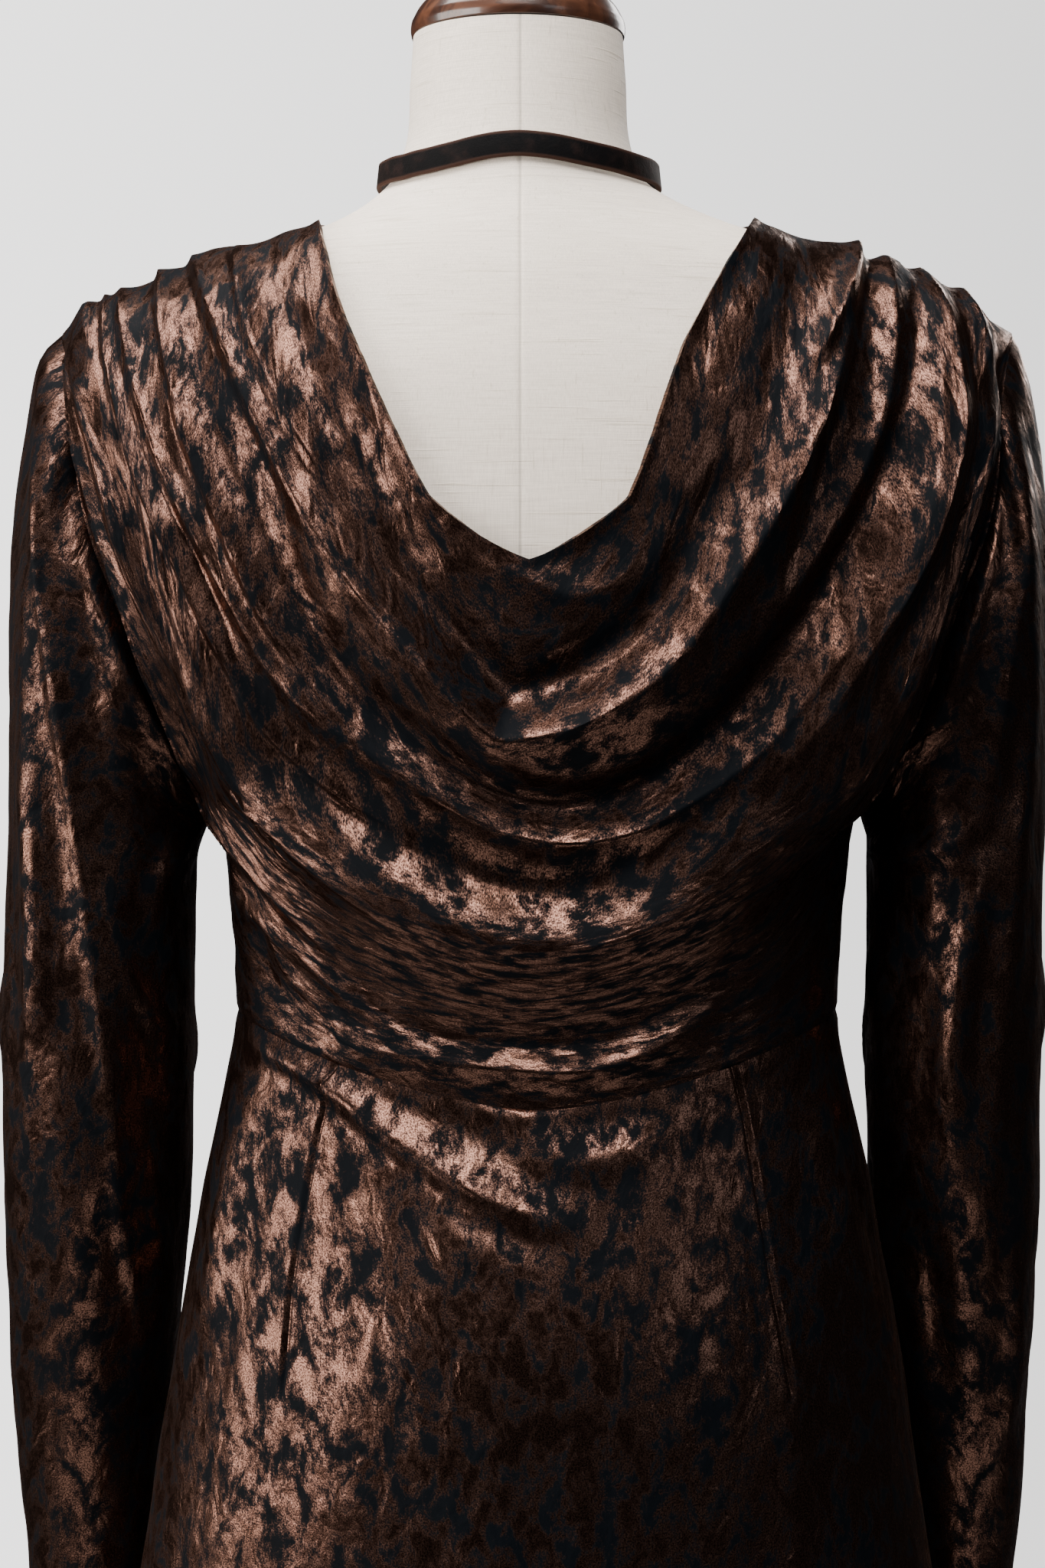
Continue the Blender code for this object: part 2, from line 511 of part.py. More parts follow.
def form_torso(finish, collection):
    """The linen body of the dress form, from the hips to the top of the neck."""
    z = np.concatenate((FORM["z"][:3], np.linspace(0.84, 1.30, 12),
                        np.linspace(1.315, 1.42, 20), FORM["z"][-2:]))
    theta = np.arange(FORM_AROUND) * 2 * math.pi / FORM_AROUND
    shape = bmesh.new()
    rings = []
    for height in z:
        power = 2 / section(FORM, height, "square")
        x = section(FORM, height, "half") * np.sign(np.sin(theta)) * np.abs(np.sin(theta)) ** power
        back = section(FORM, height, "back")
        front = section(FORM, height, "front")
        cosine = np.cos(theta)
        y = np.where(cosine >= 0, -back, front) * np.abs(cosine) ** power
        share = np.clip(np.abs(x) / section(FORM, height, "half"), 0, 1)
        y = np.where(cosine < 0, y + bust(x, height) * np.clip((1 - share) / 0.4, 0, 1), y)
        x = x + section(FORM, height, "side")
        rings.append([shape.verts.new((a, b, height)) for a, b in zip(x, y)])
    for low, high in zip(rings, rings[1:]):
        for c in range(FORM_AROUND):
            d = (c + 1) % FORM_AROUND
            shape.faces.new((low[c], low[d], high[d], high[c]))
    shape.faces.new(rings[0][::-1])
    shape.faces.new(rings[-1])
    return finish_mesh("form_torso", shape, finish, collection)


def seat_on_form(x, y):
    """The height at which the form's surface passes a place near its neck."""
    heights = np.linspace(1.42, 1.35, 141)
    side = "back" if y < 0 else "front"
    off = x - section(FORM, heights, "side")
    reach = np.abs(hull_depth(FORM, off, heights, side))
    within = (reach >= abs(y)) & (np.abs(off) < section(FORM, heights, "half"))
    return heights[np.argmax(within)]


def neckband(finish, collection):
    """The narrow velvet strap that lies round the root of the neck."""
    around = 44
    theta = np.arange(around) * 2 * math.pi / around
    deep = np.where(np.cos(theta) > 0, BAND_BACK, BAND_FRONT)
    x = BAND_CENTRE_X + BAND_HALF_X * np.sin(theta)
    y = -deep * np.cos(theta)
    low = np.array([seat_on_form(a, b) for a, b in zip(x, y)]) + 4 * REST_GAP
    out = np.stack((x - BAND_CENTRE_X, y), axis=1)
    out /= np.linalg.norm(out, axis=1, keepdims=True)
    shape = bmesh.new()
    loops = []
    for across, up in ((0, 0), (0, 1), (1, 1), (1, 0)):
        reach = BAND_THICK * across - BAND_LEAN * up
        height = low + BAND_TALL * up
        loops.append([shape.verts.new(p) for p in zip(x + reach * out[:, 0],
                                                      y + reach * out[:, 1], height)])
    for k, loop in enumerate(loops):
        other = loops[(k + 1) % 4]
        for c in range(around):
            d = (c + 1) % around
            shape.faces.new((loop[c], loop[d], other[d], other[c]))
    return finish_mesh("neckband", shape, finish, collection)


def neck_cap(finish, collection):
    """The turned wooden cap on the neck, closed underneath."""
    profile = list(CAP_PROFILE) + [(0.0, CAP_PROFILE[-1][1])]
    mesh = bpy.data.meshes.new("neck_cap")
    edges = [(i, i + 1) for i in range(len(profile) - 1)]
    mesh.from_pydata([(r, 0, z) for r, z in profile], edges, [])
    cap = add_object("neck_cap", mesh, finish, collection)
    cap.location = (FORM["side"][-1], (FORM["front"][-1] - FORM["back"][-1]) / 2, 0)
    turned = cap.modifiers.new("turned", "SCREW")
    turned.steps = turned.render_steps = 24
    turned.use_merge_vertices = True
    turned.merge_threshold = 0.00005
    turned.use_smooth_shade = True
    return cap


def upright(name, radius, low, high, sides, finish, collection):
    """A round piece of the stand between two heights."""
    shape = bmesh.new()
    bmesh.ops.create_cone(shape, cap_ends=True, segments=sides, radius1=radius, radius2=radius,
                          depth=high - low)
    bmesh.ops.translate(shape, verts=shape.verts, vec=(0, 0, (low + high) / 2))
    return finish_mesh(name, shape, finish, collection)


def main():
    for old in list(bpy.data.objects):
        bpy.data.objects.remove(old)
    collection = bpy.data.collections.new("draped_dress_on_form")
    bpy.context.scene.collection.children.link(collection)
    velvet = material("brown_velvet", (0.09, 0.045, 0.038), 0.6)
    linen = material("cream_linen", (0.78, 0.75, 0.68), 0.9)
    wood = material("dark_wood", (0.16, 0.07, 0.04), 0.3)
    steel = material("brushed_steel", (0.6, 0.6, 0.6), 0.35, 1.0)
    painted = material("pale_paint", (0.75, 0.74, 0.72), 0.5)

    bodice("back_bodice", "back", BACK_SWAGS, BACK_FOLDS, BACK_GRID, velvet, collection)
    bodice("front_bodice", "front", FRONT_SWAGS, (), FRONT_GRID, velvet, collection)
    skirt("back_skirt", "back", velvet, collection)
    skirt("front_skirt", "front", velvet, collection)
    sleeve("left_sleeve", -1, velvet, collection)
    sleeve("right_sleeve", 1, velvet, collection)
    neckband(velvet, collection)
    form_torso(linen, collection)
    neck_cap(wood, collection)
    upright("stand_pole", POLE_RADIUS, BASE_THICK + HUB_TALL + 2 * REST_GAP,
            FORM["z"][0] - REST_GAP, 24, steel, collection)
    upright("stand_hub", HUB_RADIUS, BASE_THICK + REST_GAP, BASE_THICK + HUB_TALL + REST_GAP,
            32, painted, collection)
    upright("stand_base", BASE_RADIUS, 0.0, BASE_THICK, 64, painted, collection)


main()
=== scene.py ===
"""The looks of a draped velvet dress on a limbless dress form.

Metres, +Z up. The back of the dress faces -Y, as in the photograph. The cloth's
pieces are shells on the same level sections as their solids; their folds are lines
laid on the surface, each with its own reach and height.
"""
import math

import bmesh
import bpy
import numpy as np
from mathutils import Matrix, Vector, noise


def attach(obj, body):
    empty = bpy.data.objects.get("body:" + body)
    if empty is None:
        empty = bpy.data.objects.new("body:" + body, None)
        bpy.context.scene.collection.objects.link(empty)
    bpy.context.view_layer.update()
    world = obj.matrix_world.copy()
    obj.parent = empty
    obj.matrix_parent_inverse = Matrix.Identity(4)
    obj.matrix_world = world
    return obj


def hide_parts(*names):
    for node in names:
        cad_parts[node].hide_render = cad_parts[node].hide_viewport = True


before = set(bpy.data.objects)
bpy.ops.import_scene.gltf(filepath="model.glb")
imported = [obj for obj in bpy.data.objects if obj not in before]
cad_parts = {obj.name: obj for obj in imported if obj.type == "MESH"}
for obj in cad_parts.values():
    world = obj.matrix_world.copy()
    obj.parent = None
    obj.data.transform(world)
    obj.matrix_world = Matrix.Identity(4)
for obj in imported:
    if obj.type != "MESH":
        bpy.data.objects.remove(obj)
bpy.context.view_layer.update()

# The camera: its place, and its focal length for a 36 mm sensor along the long side
CAMERA_AT = (-0.0069, -1.45, 1.122)
LENS = 70.1
SENSOR = 36.0
# Fold lines are places in the photograph, read in a view of this many pixels
VIEW_SIZE = (1333, 2000)

CLOTH = 0.0013           # thickness of the velvet
SEAM_GAP = 0.0001
SEAM_SINK, SEAM_REACH = 0.0010, 0.0022   # how a seam pulls the cloth in
SHOULDER_KEEPS = 0.10    # share of a pleat's height left where it enters the shoulder seam
# The neckline's turned edge: its rise and its extra thickness, each with its reach
NECK_ROLL, NECK_ROLL_REACH = 0.0014, 0.0035
NECK_TURN, NECK_TURN_REACH = 0.0022, 0.0060
# Folds end flat within these distances of a seam
SETTLE = {"bodice": 0.012, "waist": 0.008, "skirt": 0.010, "sleeve": 0.010}
SETTLE_POWER = 0.7       # of the bodice's folds, which end more suddenly
WAIST_Z, WAIST_DIP, FRONT_DIP = 1.016, 0.039, 0.006
HEM_Z = 0.205
ARMHOLE_CENTRE = (0.176, 0.0, 1.225)
BUST_X, BUST_Z = 0.078, 1.200
BUST_RISE, BUST_SPREAD = 0.016, 0.055
NECKLINE_CRISP = 0.55    # share of straight lines in the neckline's way
EVEN_COLUMNS = 0.45      # the rest of the columns' spacing is closer toward the sides
EDGE_FADE = 0.16         # share of the width over which a row bends to its seat on the edge
EDGE_MARGIN = 0.0004     # each column from the armhole's edge stays this much further inside
# How the wall turns toward a seam's own way, from the seam inward
LEAN_SHARES = (1.0, 0.8, 0.6, 0.4, 0.2)
WAIST_LEANS = (1.0, 0.7, 0.4)
SKIRT_TOP_LEANS = (1.0, 0.5)

# Grids of the cloth: columns, rows that end on the shoulder, rows below the armhole
BACK_GRID = (200, 110, 30)
FRONT_GRID = (120, 24, 30)
ARMHOLE_STEPS = 60
SKIRT_ROWS = 190
SKIRT_BUNCHED, SKIRT_EVEN = 150, 60     # columns: closer at the sides, and even ones
DART_COLUMNS = (0.26, 0.74)
CAP_ROWS, ARM_ROWS = 42, 150
FORM_AROUND, FORM_ROWS = 160, 190
FLOOR_STEPS = 96

# One fold: where its arms end and begin along it, and the trough at its inner foot
FIRST_ARM, LAST_ARM = (0.20, 0.42), (0.62, 0.84)
TROUGH_DEPTH, TROUGH_AT, TROUGH_SPREAD = 0.28, 1.30, 0.50
# A dart: its welt's rise, place and spread, then its stitched line's depth and reach
DART_WELT, WELT_AT, WELT_SPREAD = 0.0007, 0.0024, 0.0016
DART_SINK, DART_REACH = 0.0012, 0.0010
# Dents of the crushed cloth: scale, height and seed of each layer
COWL_CRUSH = ((38, 0.0011, 1), (95, 0.0005, 2))
FRONT_CRUSH = ((30, 0.0011, 3), (90, 0.0004, 4))
SKIRT_CRUSH = ((40, 0.0012, 5), (95, 0.0005, 8))
SLEEVE_CRUSH = ((42, 0.0011, 12), (100, 0.0005, 15))

HULL = {
    "z": (0.205, 0.400, 0.600, 0.750, 0.806, 0.862, 0.899, 0.936, 0.979, 1.016, 1.050,
          1.085, 1.115, 1.150, 1.180, 1.210, 1.236, 1.260, 1.285, 1.310, 1.336, 1.355,
          1.372, 1.3875, 1.395),
    "half": (0.240, 0.223, 0.204, 0.1870, 0.1787, 0.1703, 0.1638, 0.1576, 0.1480, 0.1422,
             0.1435, 0.1470, 0.1525, 0.1800, 0.2020, 0.2150, 0.2240, 0.2290, 0.2310, 0.2300,
             0.2245, 0.1930, 0.1545, 0.1025, 0.0880),
    "back": (0.172, 0.160, 0.146, 0.1360, 0.1330, 0.1275, 0.1190, 0.1065, 0.0935, 0.0930,
             0.0970, 0.1030, 0.1080, 0.1130, 0.1160, 0.1170, 0.1165, 0.1155, 0.1130, 0.1085,
             0.1010, 0.0945, 0.0870, 0.0780, 0.0720),
    "front": (0.160, 0.147, 0.131, 0.1180, 0.1140, 0.1100, 0.1070, 0.1030, 0.0980, 0.0960,
              0.0975, 0.1000, 0.1040, 0.1080, 0.1110, 0.1120, 0.1110, 0.1080, 0.1020, 0.0960,
              0.0880, 0.0800, 0.0715, 0.0665, 0.0640),
    "square": (2.0, 2.0, 2.05, 2.1, 2.1, 2.1, 2.15, 2.2, 2.25, 2.25, 2.3,
               2.3, 2.3, 2.3, 2.3, 2.3, 2.3, 2.2, 2.15, 2.0, 1.8, 1.7,
               1.7, 1.7, 1.75),
}
FORM = {
    "z": (0.780, 0.786, 0.806, 0.862, 0.899, 0.936, 0.979, 1.016, 1.050, 1.085, 1.115,
          1.150, 1.180, 1.210, 1.236, 1.260, 1.285, 1.310, 1.335, 1.3535, 1.3700, 1.3855,
          1.4030, 1.4200, 1.4570, 1.4760),
    "half": (0.150, 0.160, 0.1640, 0.1600, 0.1540, 0.1470, 0.1370, 0.1310, 0.1320, 0.1350,
             0.1410, 0.1540, 0.1680, 0.1820, 0.1920, 0.1980, 0.2010, 0.2030, 0.2010, 0.1870,
             0.1480, 0.0968, 0.0640, 0.0545, 0.0510, 0.0497),
    "back": (0.100, 0.110, 0.1180, 0.1170, 0.1090, 0.0970, 0.0850, 0.0840, 0.0880, 0.0940,
             0.0990, 0.1040, 0.1075, 0.1085, 0.1085, 0.1075, 0.1055, 0.1015, 0.0945, 0.0885,
             0.0810, 0.0720, 0.0625, 0.0565, 0.0490, 0.0460),
    "front": (0.090, 0.098, 0.1020, 0.1000, 0.0970, 0.0940, 0.0890, 0.0870, 0.0890, 0.0910,
              0.0940, 0.0980, 0.1010, 0.1020, 0.1010, 0.0985, 0.0930, 0.0870, 0.0790, 0.0730,
              0.0680, 0.0630, 0.0610, 0.0590, 0.0560, 0.0540),
    "square": (2.1, 2.1, 2.1, 2.1, 2.15, 2.2, 2.25, 2.25, 2.3, 2.3, 2.3,
               2.3, 2.3, 2.3, 2.3, 2.2, 2.15, 2.0, 1.8, 1.7, 1.7, 1.75,
               1.9, 2.0, 2.0, 2.0),
    "side": (0, 0, 0, 0, 0, 0, 0, 0, 0, 0, 0,
             0, 0, 0, 0, 0, 0, 0, 0, 0, -0.001, -0.0035,
             -0.0085, -0.0090, -0.0090, -0.0090),
}
# Half width of the back, of the front, height
SHOULDER_EDGE = ((0.1025, 0.1025, 1.3875), (0.1545, 0.1545, 1.372),
                 (0.1930, 0.1930, 1.355), (0.2245, 0.2245, 1.336))
ARMHOLE_EDGE = ((0.2245, 0.2245, 1.336), (0.2165, 0.2130, 1.310), (0.2127, 0.2045, 1.285),
                (0.2110, 0.1985, 1.260), (0.2050, 0.1930, 1.236), (0.1950, 0.1860, 1.210),
                (0.1830, 0.1775, 1.180), (0.1680, 0.1660, 1.150), (0.1525, 0.1525, 1.115))
SIDE_EDGE = ((0.1525, 0.1525, 1.115), (0.1470, 0.1470, 1.085),
             (0.1435, 0.1435, 1.050), (0.1422, 0.1422, 1.016))

# Seat on the left edge, five places (x, z), seat on the right edge
BACK_SWAGS = (
    (0.00, (-0.0865, 1.3295), (-0.0480, 1.2480), (-0.0040, 1.2200),
     (0.0400, 1.2475), (0.0660, 1.3200), 0.00),
    (0.41, (-0.1220, 1.2790), (-0.0730, 1.1980), (-0.0110, 1.1430),
     (0.0580, 1.1780), (0.1115, 1.2550), 0.37),
    (0.72, (-0.1660, 1.2610), (-0.1150, 1.1710), (0.0000, 1.1000),
     (0.0950, 1.1410), (0.1670, 1.2450), 0.68),
    (0.87, (-0.1800, 1.2460), (-0.1260, 1.1240), (-0.0020, 1.0565),
     (0.1090, 1.1150), (0.1740, 1.2280), 0.84),
    (2.25, (-0.1360, 1.0700), (-0.0900, 1.0270), (0.0000, 1.0080),
     (0.0900, 1.0270), (0.1360, 1.0700), 2.25),
)
FRONT_SWAGS = (
    (0.00, (-0.0850, 1.3885), (-0.0520, 1.3830), (-0.0085, 1.3725),
     (0.0350, 1.3830), (0.0770, 1.3885), 0.00),
    (1.00, (-0.1560, 1.3300), (-0.0780, 1.3140), (0.0000, 1.3090),
     (0.0780, 1.3140), (0.1560, 1.3300), 1.00),
    (1.55, (-0.1340, 1.2180), (-0.0680, 1.2100), (0.0000, 1.2080),
     (0.0680, 1.2100), (0.1340, 1.2180), 1.55),
    (2.15, (-0.1080, 1.1030), (-0.0560, 1.1000), (0.0000, 1.0990),
     (0.0560, 1.1000), (0.1080, 1.1030), 2.15),
)

# Folds of the draped back, each from its left end to its right end in the photograph's view:
# reach toward the neckline, reach away from it, heights evenly along it, crispness of the crest
COWL_FOLDS = (
    # the rolled lip under the point of the neckline
    (((560, 655), (615, 705), (675, 742), (735, 762), (790, 742), (850, 690)),
     0.014, 0.012, (0.0, 0.002, 0.004, 0.0035, 0.001, 0.0), 0.6),
    # the upper fold, from pleat to pleat
    (((246, 322), (262, 380), (292, 455), (333, 544), (382, 640), (432, 716), (482, 782),
      (552, 852), (600, 906), (645, 937), (710, 928), (772, 902), (850, 845), (905, 775),
      (960, 695), (1010, 615), (1048, 530), (1080, 420), (1092, 322)),
     0.016, 0.042, (0.004, 0.007, 0.009, 0.013, 0.019, 0.020, 0.015, 0.012, 0.009, 0.005), 0.6,
     ((0.024, 0.006), (0.020, 0.008))),
    # the middle fold
    (((158, 360), (163, 440), (184, 520), (215, 605), (262, 700), (308, 785), (355, 860),
      (425, 922), (500, 972), (575, 1022), (650, 1058), (720, 1070), (800, 1058), (885, 1010),
      (968, 943), (1050, 845), (1120, 740), (1165, 630), (1186, 510), (1184, 420), (1150, 348)),
     0.014, 0.032, (0.004, 0.007, 0.009, 0.011, 0.015, 0.017, 0.014, 0.011, 0.008, 0.004), 0.5,
     ((0.018, 0.006), (0.018, 0.009))),
    # the lower fold, broad in the middle
    (((122, 385), (126, 470), (150, 560), (184, 644), (214, 740), (250, 830), (290, 920),
      (333, 999), (400, 1062), (480, 1120), (570, 1170), (680, 1200), (770, 1192), (860, 1150),
      (940, 1080), (1000, 1020), (1070, 930), (1130, 830), (1178, 700), (1218, 560),
      (1228, 450), (1200, 365)),
     0.028, 0.040, (0.004, 0.006, 0.009, 0.013, 0.019, 0.020, 0.021, 0.020, 0.013, 0.004), 0.2,
     ((0.016, 0.007), (0.023, 0.014))),
    # the outer folds beside the armholes
    (((94, 415), (100, 520), (122, 620), (158, 722), (196, 832), (238, 930), (276, 1010),
      (318, 1092), (372, 1162), (440, 1224), (520, 1262)),
     0.015, 0.007, (0.004, 0.008, 0.009, 0.010, 0.009, 0.006, 0.000), 0.6),
    (((1252, 420), (1262, 520), (1244, 620), (1216, 730), (1170, 850), (1112, 950),
      (1052, 1040), (990, 1110)),
     0.008, 0.017, (0.004, 0.008, 0.009, 0.010, 0.008, 0.000), 0.5),
    # smaller folds between the main ones on the left
    (((300, 330), (318, 420), (352, 500), (402, 590), (462, 680)),
     0.014, 0.005, (0.003, 0.004, 0.004, 0.003, 0.0), 0.6),
    (((205, 345), (214, 450), (240, 560), (286, 668), (345, 790), (410, 880), (470, 935)),
     0.014, 0.005, (0.004, 0.007, 0.008, 0.007, 0.005, 0.0), 0.7),
    (((142, 372), (146, 480), (176, 590), (232, 720), (290, 838), (345, 930), (420, 1000),
      (500, 1050), (590, 1105)),
     0.012, 0.0045, (0.004, 0.006, 0.007, 0.006, 0.006, 0.004, 0.0), 0.8),
    (((106, 402), (112, 500), (138, 600), (196, 760), (252, 880), (312, 985), (370, 1062),
      (450, 1130), (530, 1190)),
     0.011, 0.0045, (0.004, 0.006, 0.007, 0.006, 0.006, 0.004, 0.0), 0.8),
    (((120, 560), (150, 660), (200, 790), (246, 880), (300, 990), (338, 1060)),
     0.007, 0.007, (0.000, 0.003, 0.003, 0.003, 0.0), 0.8),
    (((275, 1000), (300, 1080), (312, 1150), (345, 1180), (368, 1240), (420, 1290)),
     0.009, 0.008, (0.000, 0.003, 0.004, 0.003, 0.0), 0.7),
    (((312, 1120), (362, 1190), (420, 1250), (480, 1300), (545, 1345), (600, 1390)),
     0.010, 0.009, (0.000, 0.003, 0.004, 0.003, 0.0), 0.7),
    # and on the right
    (((1092, 322), (1080, 372), (1057, 422), (1020, 490)),
     0.007, 0.010, (0.004, 0.006, 0.006, 0.000), 0.9),
    (((1128, 335), (1140, 430), (1128, 530), (1085, 640), (1030, 730), (965, 810), (880, 885)),
     0.010, 0.012, (0.004, 0.007, 0.007, 0.005, 0.003, 0.0), 0.6),
    (((1172, 352), (1204, 440), (1206, 540), (1180, 640), (1130, 750), (1070, 850),
      (1000, 945), (930, 1010)),
     0.008, 0.009, (0.004, 0.006, 0.007, 0.005, 0.003, 0.0), 0.7),
    (((1224, 385), (1243, 480), (1236, 590), (1200, 700), (1146, 820), (1085, 930),
      (1010, 1030), (940, 1100)),
     0.008, 0.008, (0.004, 0.006, 0.007, 0.005, 0.003, 0.0), 0.7),
    # the last swag above the waist seam
    (((400, 1300), (480, 1338), (560, 1352), (640, 1362), (717, 1366), (800, 1350),
      (872, 1310), (930, 1262)),
     0.012, 0.014, (0.000, 0.003, 0.006, 0.008, 0.006, 0.0), 0.5),
    (((430, 1230), (520, 1278), (620, 1300), (720, 1304), (820, 1280), (930, 1210)),
     0.020, 0.014, (0.000, 0.003, 0.004, 0.003, 0.0), 0.3),
    # the waist dart on each side
    (((425, 1238), (420, 1290), (428, 1345)), 0.0025, 0.0025, (0.0, -0.0012, -0.0014), 0.8),
    (((918, 1258), (920, 1290), (924, 1345)), 0.0025, 0.0025, (0.0, -0.0008, -0.0010), 0.8),
)
# Folds of the skirt's back below the waist seam
SKIRT_CREASES = (
    (((380, 1345), (440, 1400), (500, 1450), (560, 1490), (620, 1528), (690, 1556), (760, 1560)),
     0.016, 0.012, (0.002, 0.004, 0.005, 0.006, 0.005, 0.0), 0.6),
    (((330, 1330), (400, 1372), (460, 1410), (520, 1470)),
     0.010, 0.009, (0.002, 0.004, 0.003, 0.0), 0.7),
    (((640, 1470), (720, 1482), (800, 1470), (880, 1430)),
     0.016, 0.014, (0.0, 0.003, 0.003, 0.0), 0.4),
    (((540, 1560), (620, 1600), (710, 1640)), 0.016, 0.014, (0.0, 0.002, 0.0), 0.4),
    (((305, 1380), (292, 1480), (275, 1600), (250, 1720)),
     0.012, 0.010, (0.0, 0.003, 0.003, 0.0), 0.4),
    (((1030, 1330), (1050, 1450), (1080, 1560), (1120, 1700)),
     0.010, 0.012, (0.0, 0.003, 0.003, 0.0), 0.4),
)
SKIRT_DARTS = (   # top and way down to the point, in the photograph's view
    ((430, 1352), (404, 1460), (385, 1560), (368, 1670), (358, 1790)),
    ((926, 1310), (950, 1430), (972, 1560), (990, 1670), (1010, 1790)),
)
# Angle from the centre back (degrees), spread, height of the fold's start, rise at the hem
SKIRT_FOLDS = (
    (-74, 9, 0.90, 0.013), (-46, 10, 0.74, 0.012), (-17, 11, 0.66, 0.010), (14, 10, 0.70, 0.011),
    (43, 9, 0.72, 0.013), (70, 10, 0.88, 0.012), (104, 10, 0.82, 0.012), (133, 10, 0.74, 0.011),
    (163, 11, 0.70, 0.010), (194, 10, 0.68, 0.011), (225, 11, 0.72, 0.012), (256, 9, 0.84, 0.012),
)
# Long folds seen on the back of each sleeve
LEFT_SLEEVE_CREASES = (
    (((50, 470), (52, 598), (57, 707), (67, 815), (80, 920), (100, 1060), (116, 1184),
      (131, 1297), (143, 1400), (153, 1533), (170, 1640), (190, 1760)),
     0.014, 0.007, (0.002, 0.004, 0.004, 0.004, 0.004, 0.004, 0.003, 0.0), 0.9),
    (((112, 700), (128, 760), (165, 850), (205, 930), (240, 1010)),
     0.008, 0.008, (0.0, 0.003, 0.003, 0.0), 0.5),
    (((250, 1020), (230, 1070), (205, 1130), (196, 1200)),
     0.010, 0.010, (0.004, 0.005, 0.003, 0.0), 0.5),
    (((20, 900), (38, 1040), (44, 1200), (38, 1380), (30, 1500)),
     0.010, 0.010, (0.0, 0.003, 0.004, 0.003, 0.0), 0.4),
    (((120, 1100), (150, 1200), (190, 1290), (225, 1350)),
     0.010, 0.009, (0.0, 0.002, 0.003, 0.0), 0.4),
    (((160, 1400), (190, 1500), (200, 1620), (190, 1740)),
     0.010, 0.010, (0.0, 0.002, 0.003, 0.0), 0.4),
)
RIGHT_SLEEVE_CREASES = (
    (((1262, 520), (1258, 640), (1240, 760), (1205, 880), (1160, 980)),
     0.008, 0.010, (0.001, 0.004, 0.004, 0.0), 0.7),
    (((1300, 560), (1298, 700), (1280, 840), (1262, 960), (1240, 1080)),
     0.010, 0.009, (0.0, 0.004, 0.004, 0.0), 0.5),
    (((1110, 1075), (1160, 1090), (1215, 1075), (1235, 1030)),
     0.010, 0.010, (0.0, 0.005, 0.004, 0.0), 0.5),
    (((1250, 1080), (1232, 1180), (1215, 1290), (1210, 1400), (1212, 1500)),
     0.012, 0.012, (0.0, 0.005, 0.006, 0.004, 0.0), 0.4),
    (((1125, 1180), (1118, 1260), (1102, 1340)),
     0.008, 0.008, (0.0, 0.003, 0.0), 0.5),
    (((1145, 1530), (1160, 1640), (1175, 1760), (1200, 1860)),
     0.010, 0.010, (0.0, 0.004, 0.003, 0.0), 0.4),
    (((1290, 1560), (1300, 1680), (1282, 1800), (1250, 1900)),
     0.010, 0.010, (0.0, 0.003, 0.004, 0.0), 0.4),
)
SLEEVE = {
    "z": (0.735, 0.760, 0.820, 0.880, 0.950, 1.020, 1.085),
    "x": (0.2120, 0.2120, 0.2110, 0.2080, 0.2050, 0.2040, 0.2030),
    "y": (0.0640, 0.0600, 0.0450, 0.0280, 0.0120, 0.0050, 0.0020),
    "half": (0.0320, 0.0335, 0.0370, 0.0405, 0.0430, 0.0435, 0.0430),
    "deep": (0.0420, 0.0430, 0.0460, 0.0490, 0.0520, 0.0530, 0.0540),
}
SLEEVE_RADIUS = 0.045    # for the wrinkles' measures round the arm
HEAD_PULL, ARM_PULL = 0.33, 0.40        # how far the curve of the head keeps its first ways
SLEEVE_HEAD = {-1: 0.008, 1: 0.002}     # how far each head stands out past its seam
SLEEVE_HANG = {-1: 0.007, 1: -0.008}    # how far each arm hangs outward
# Angle (0 outside, 90 back), spread, top, foot, rise, drift toward the back on the way down
SLEEVE_FOLDS = (
    (28, 13, 1.30, 0.86, 0.0040, 62), (118, 15, 1.20, 0.80, 0.0030, -30),
    (215, 18, 1.05, 0.78, 0.0030, 10), (300, 16, 1.24, 0.84, 0.0035, 25),
)
# Wrinkles of the sleeves' hidden sides: angle and height of one end and of the other, rise
SLEEVE_WRINKLES = (
    (200, 1.080, 260, 1.000, 0.0035), (185, 1.020, 250, 0.950, 0.0030),
    (250, 0.960, 310, 0.900, 0.0028), (290, 1.200, 330, 1.090, 0.0030),
    (215, 0.900, 280, 0.860, 0.0025), (340, 1.060, 390, 0.990, 0.0025),
    (255, 1.150, 300, 1.080, 0.0030), (300, 0.850, 350, 0.810, 0.0020),
)
# Soft folds of the plain front: places (x, z) from end to end, reach, height
FRONT_FOLDS = (
    (((-0.205, 1.262), (-0.165, 1.225), (-0.125, 1.205)), 0.016, 0.0035),
    (((0.204, 1.255), (0.160, 1.215), (0.118, 1.198)), 0.015, 0.0035),
    (((-0.155, 1.130), (-0.120, 1.142), (-0.085, 1.150)), 0.012, 0.0025),
    (((0.156, 1.122), (0.124, 1.138), (0.092, 1.144)), 0.012, 0.0025),
    (((-0.140, 1.040), (-0.090, 1.048), (-0.030, 1.040)), 0.012, 0.0020),
    (((0.138, 1.052), (0.085, 1.044), (0.020, 1.056)), 0.012, 0.0022),
    (((-0.120, 1.372), (-0.100, 1.335), (-0.092, 1.290)), 0.012, 0.0025),
    (((0.122, 1.372), (0.106, 1.330), (0.098, 1.280)), 0.012, 0.0025),
    (((-0.060, 1.180), (0.000, 1.172), (0.060, 1.182)), 0.014, 0.0022),
)

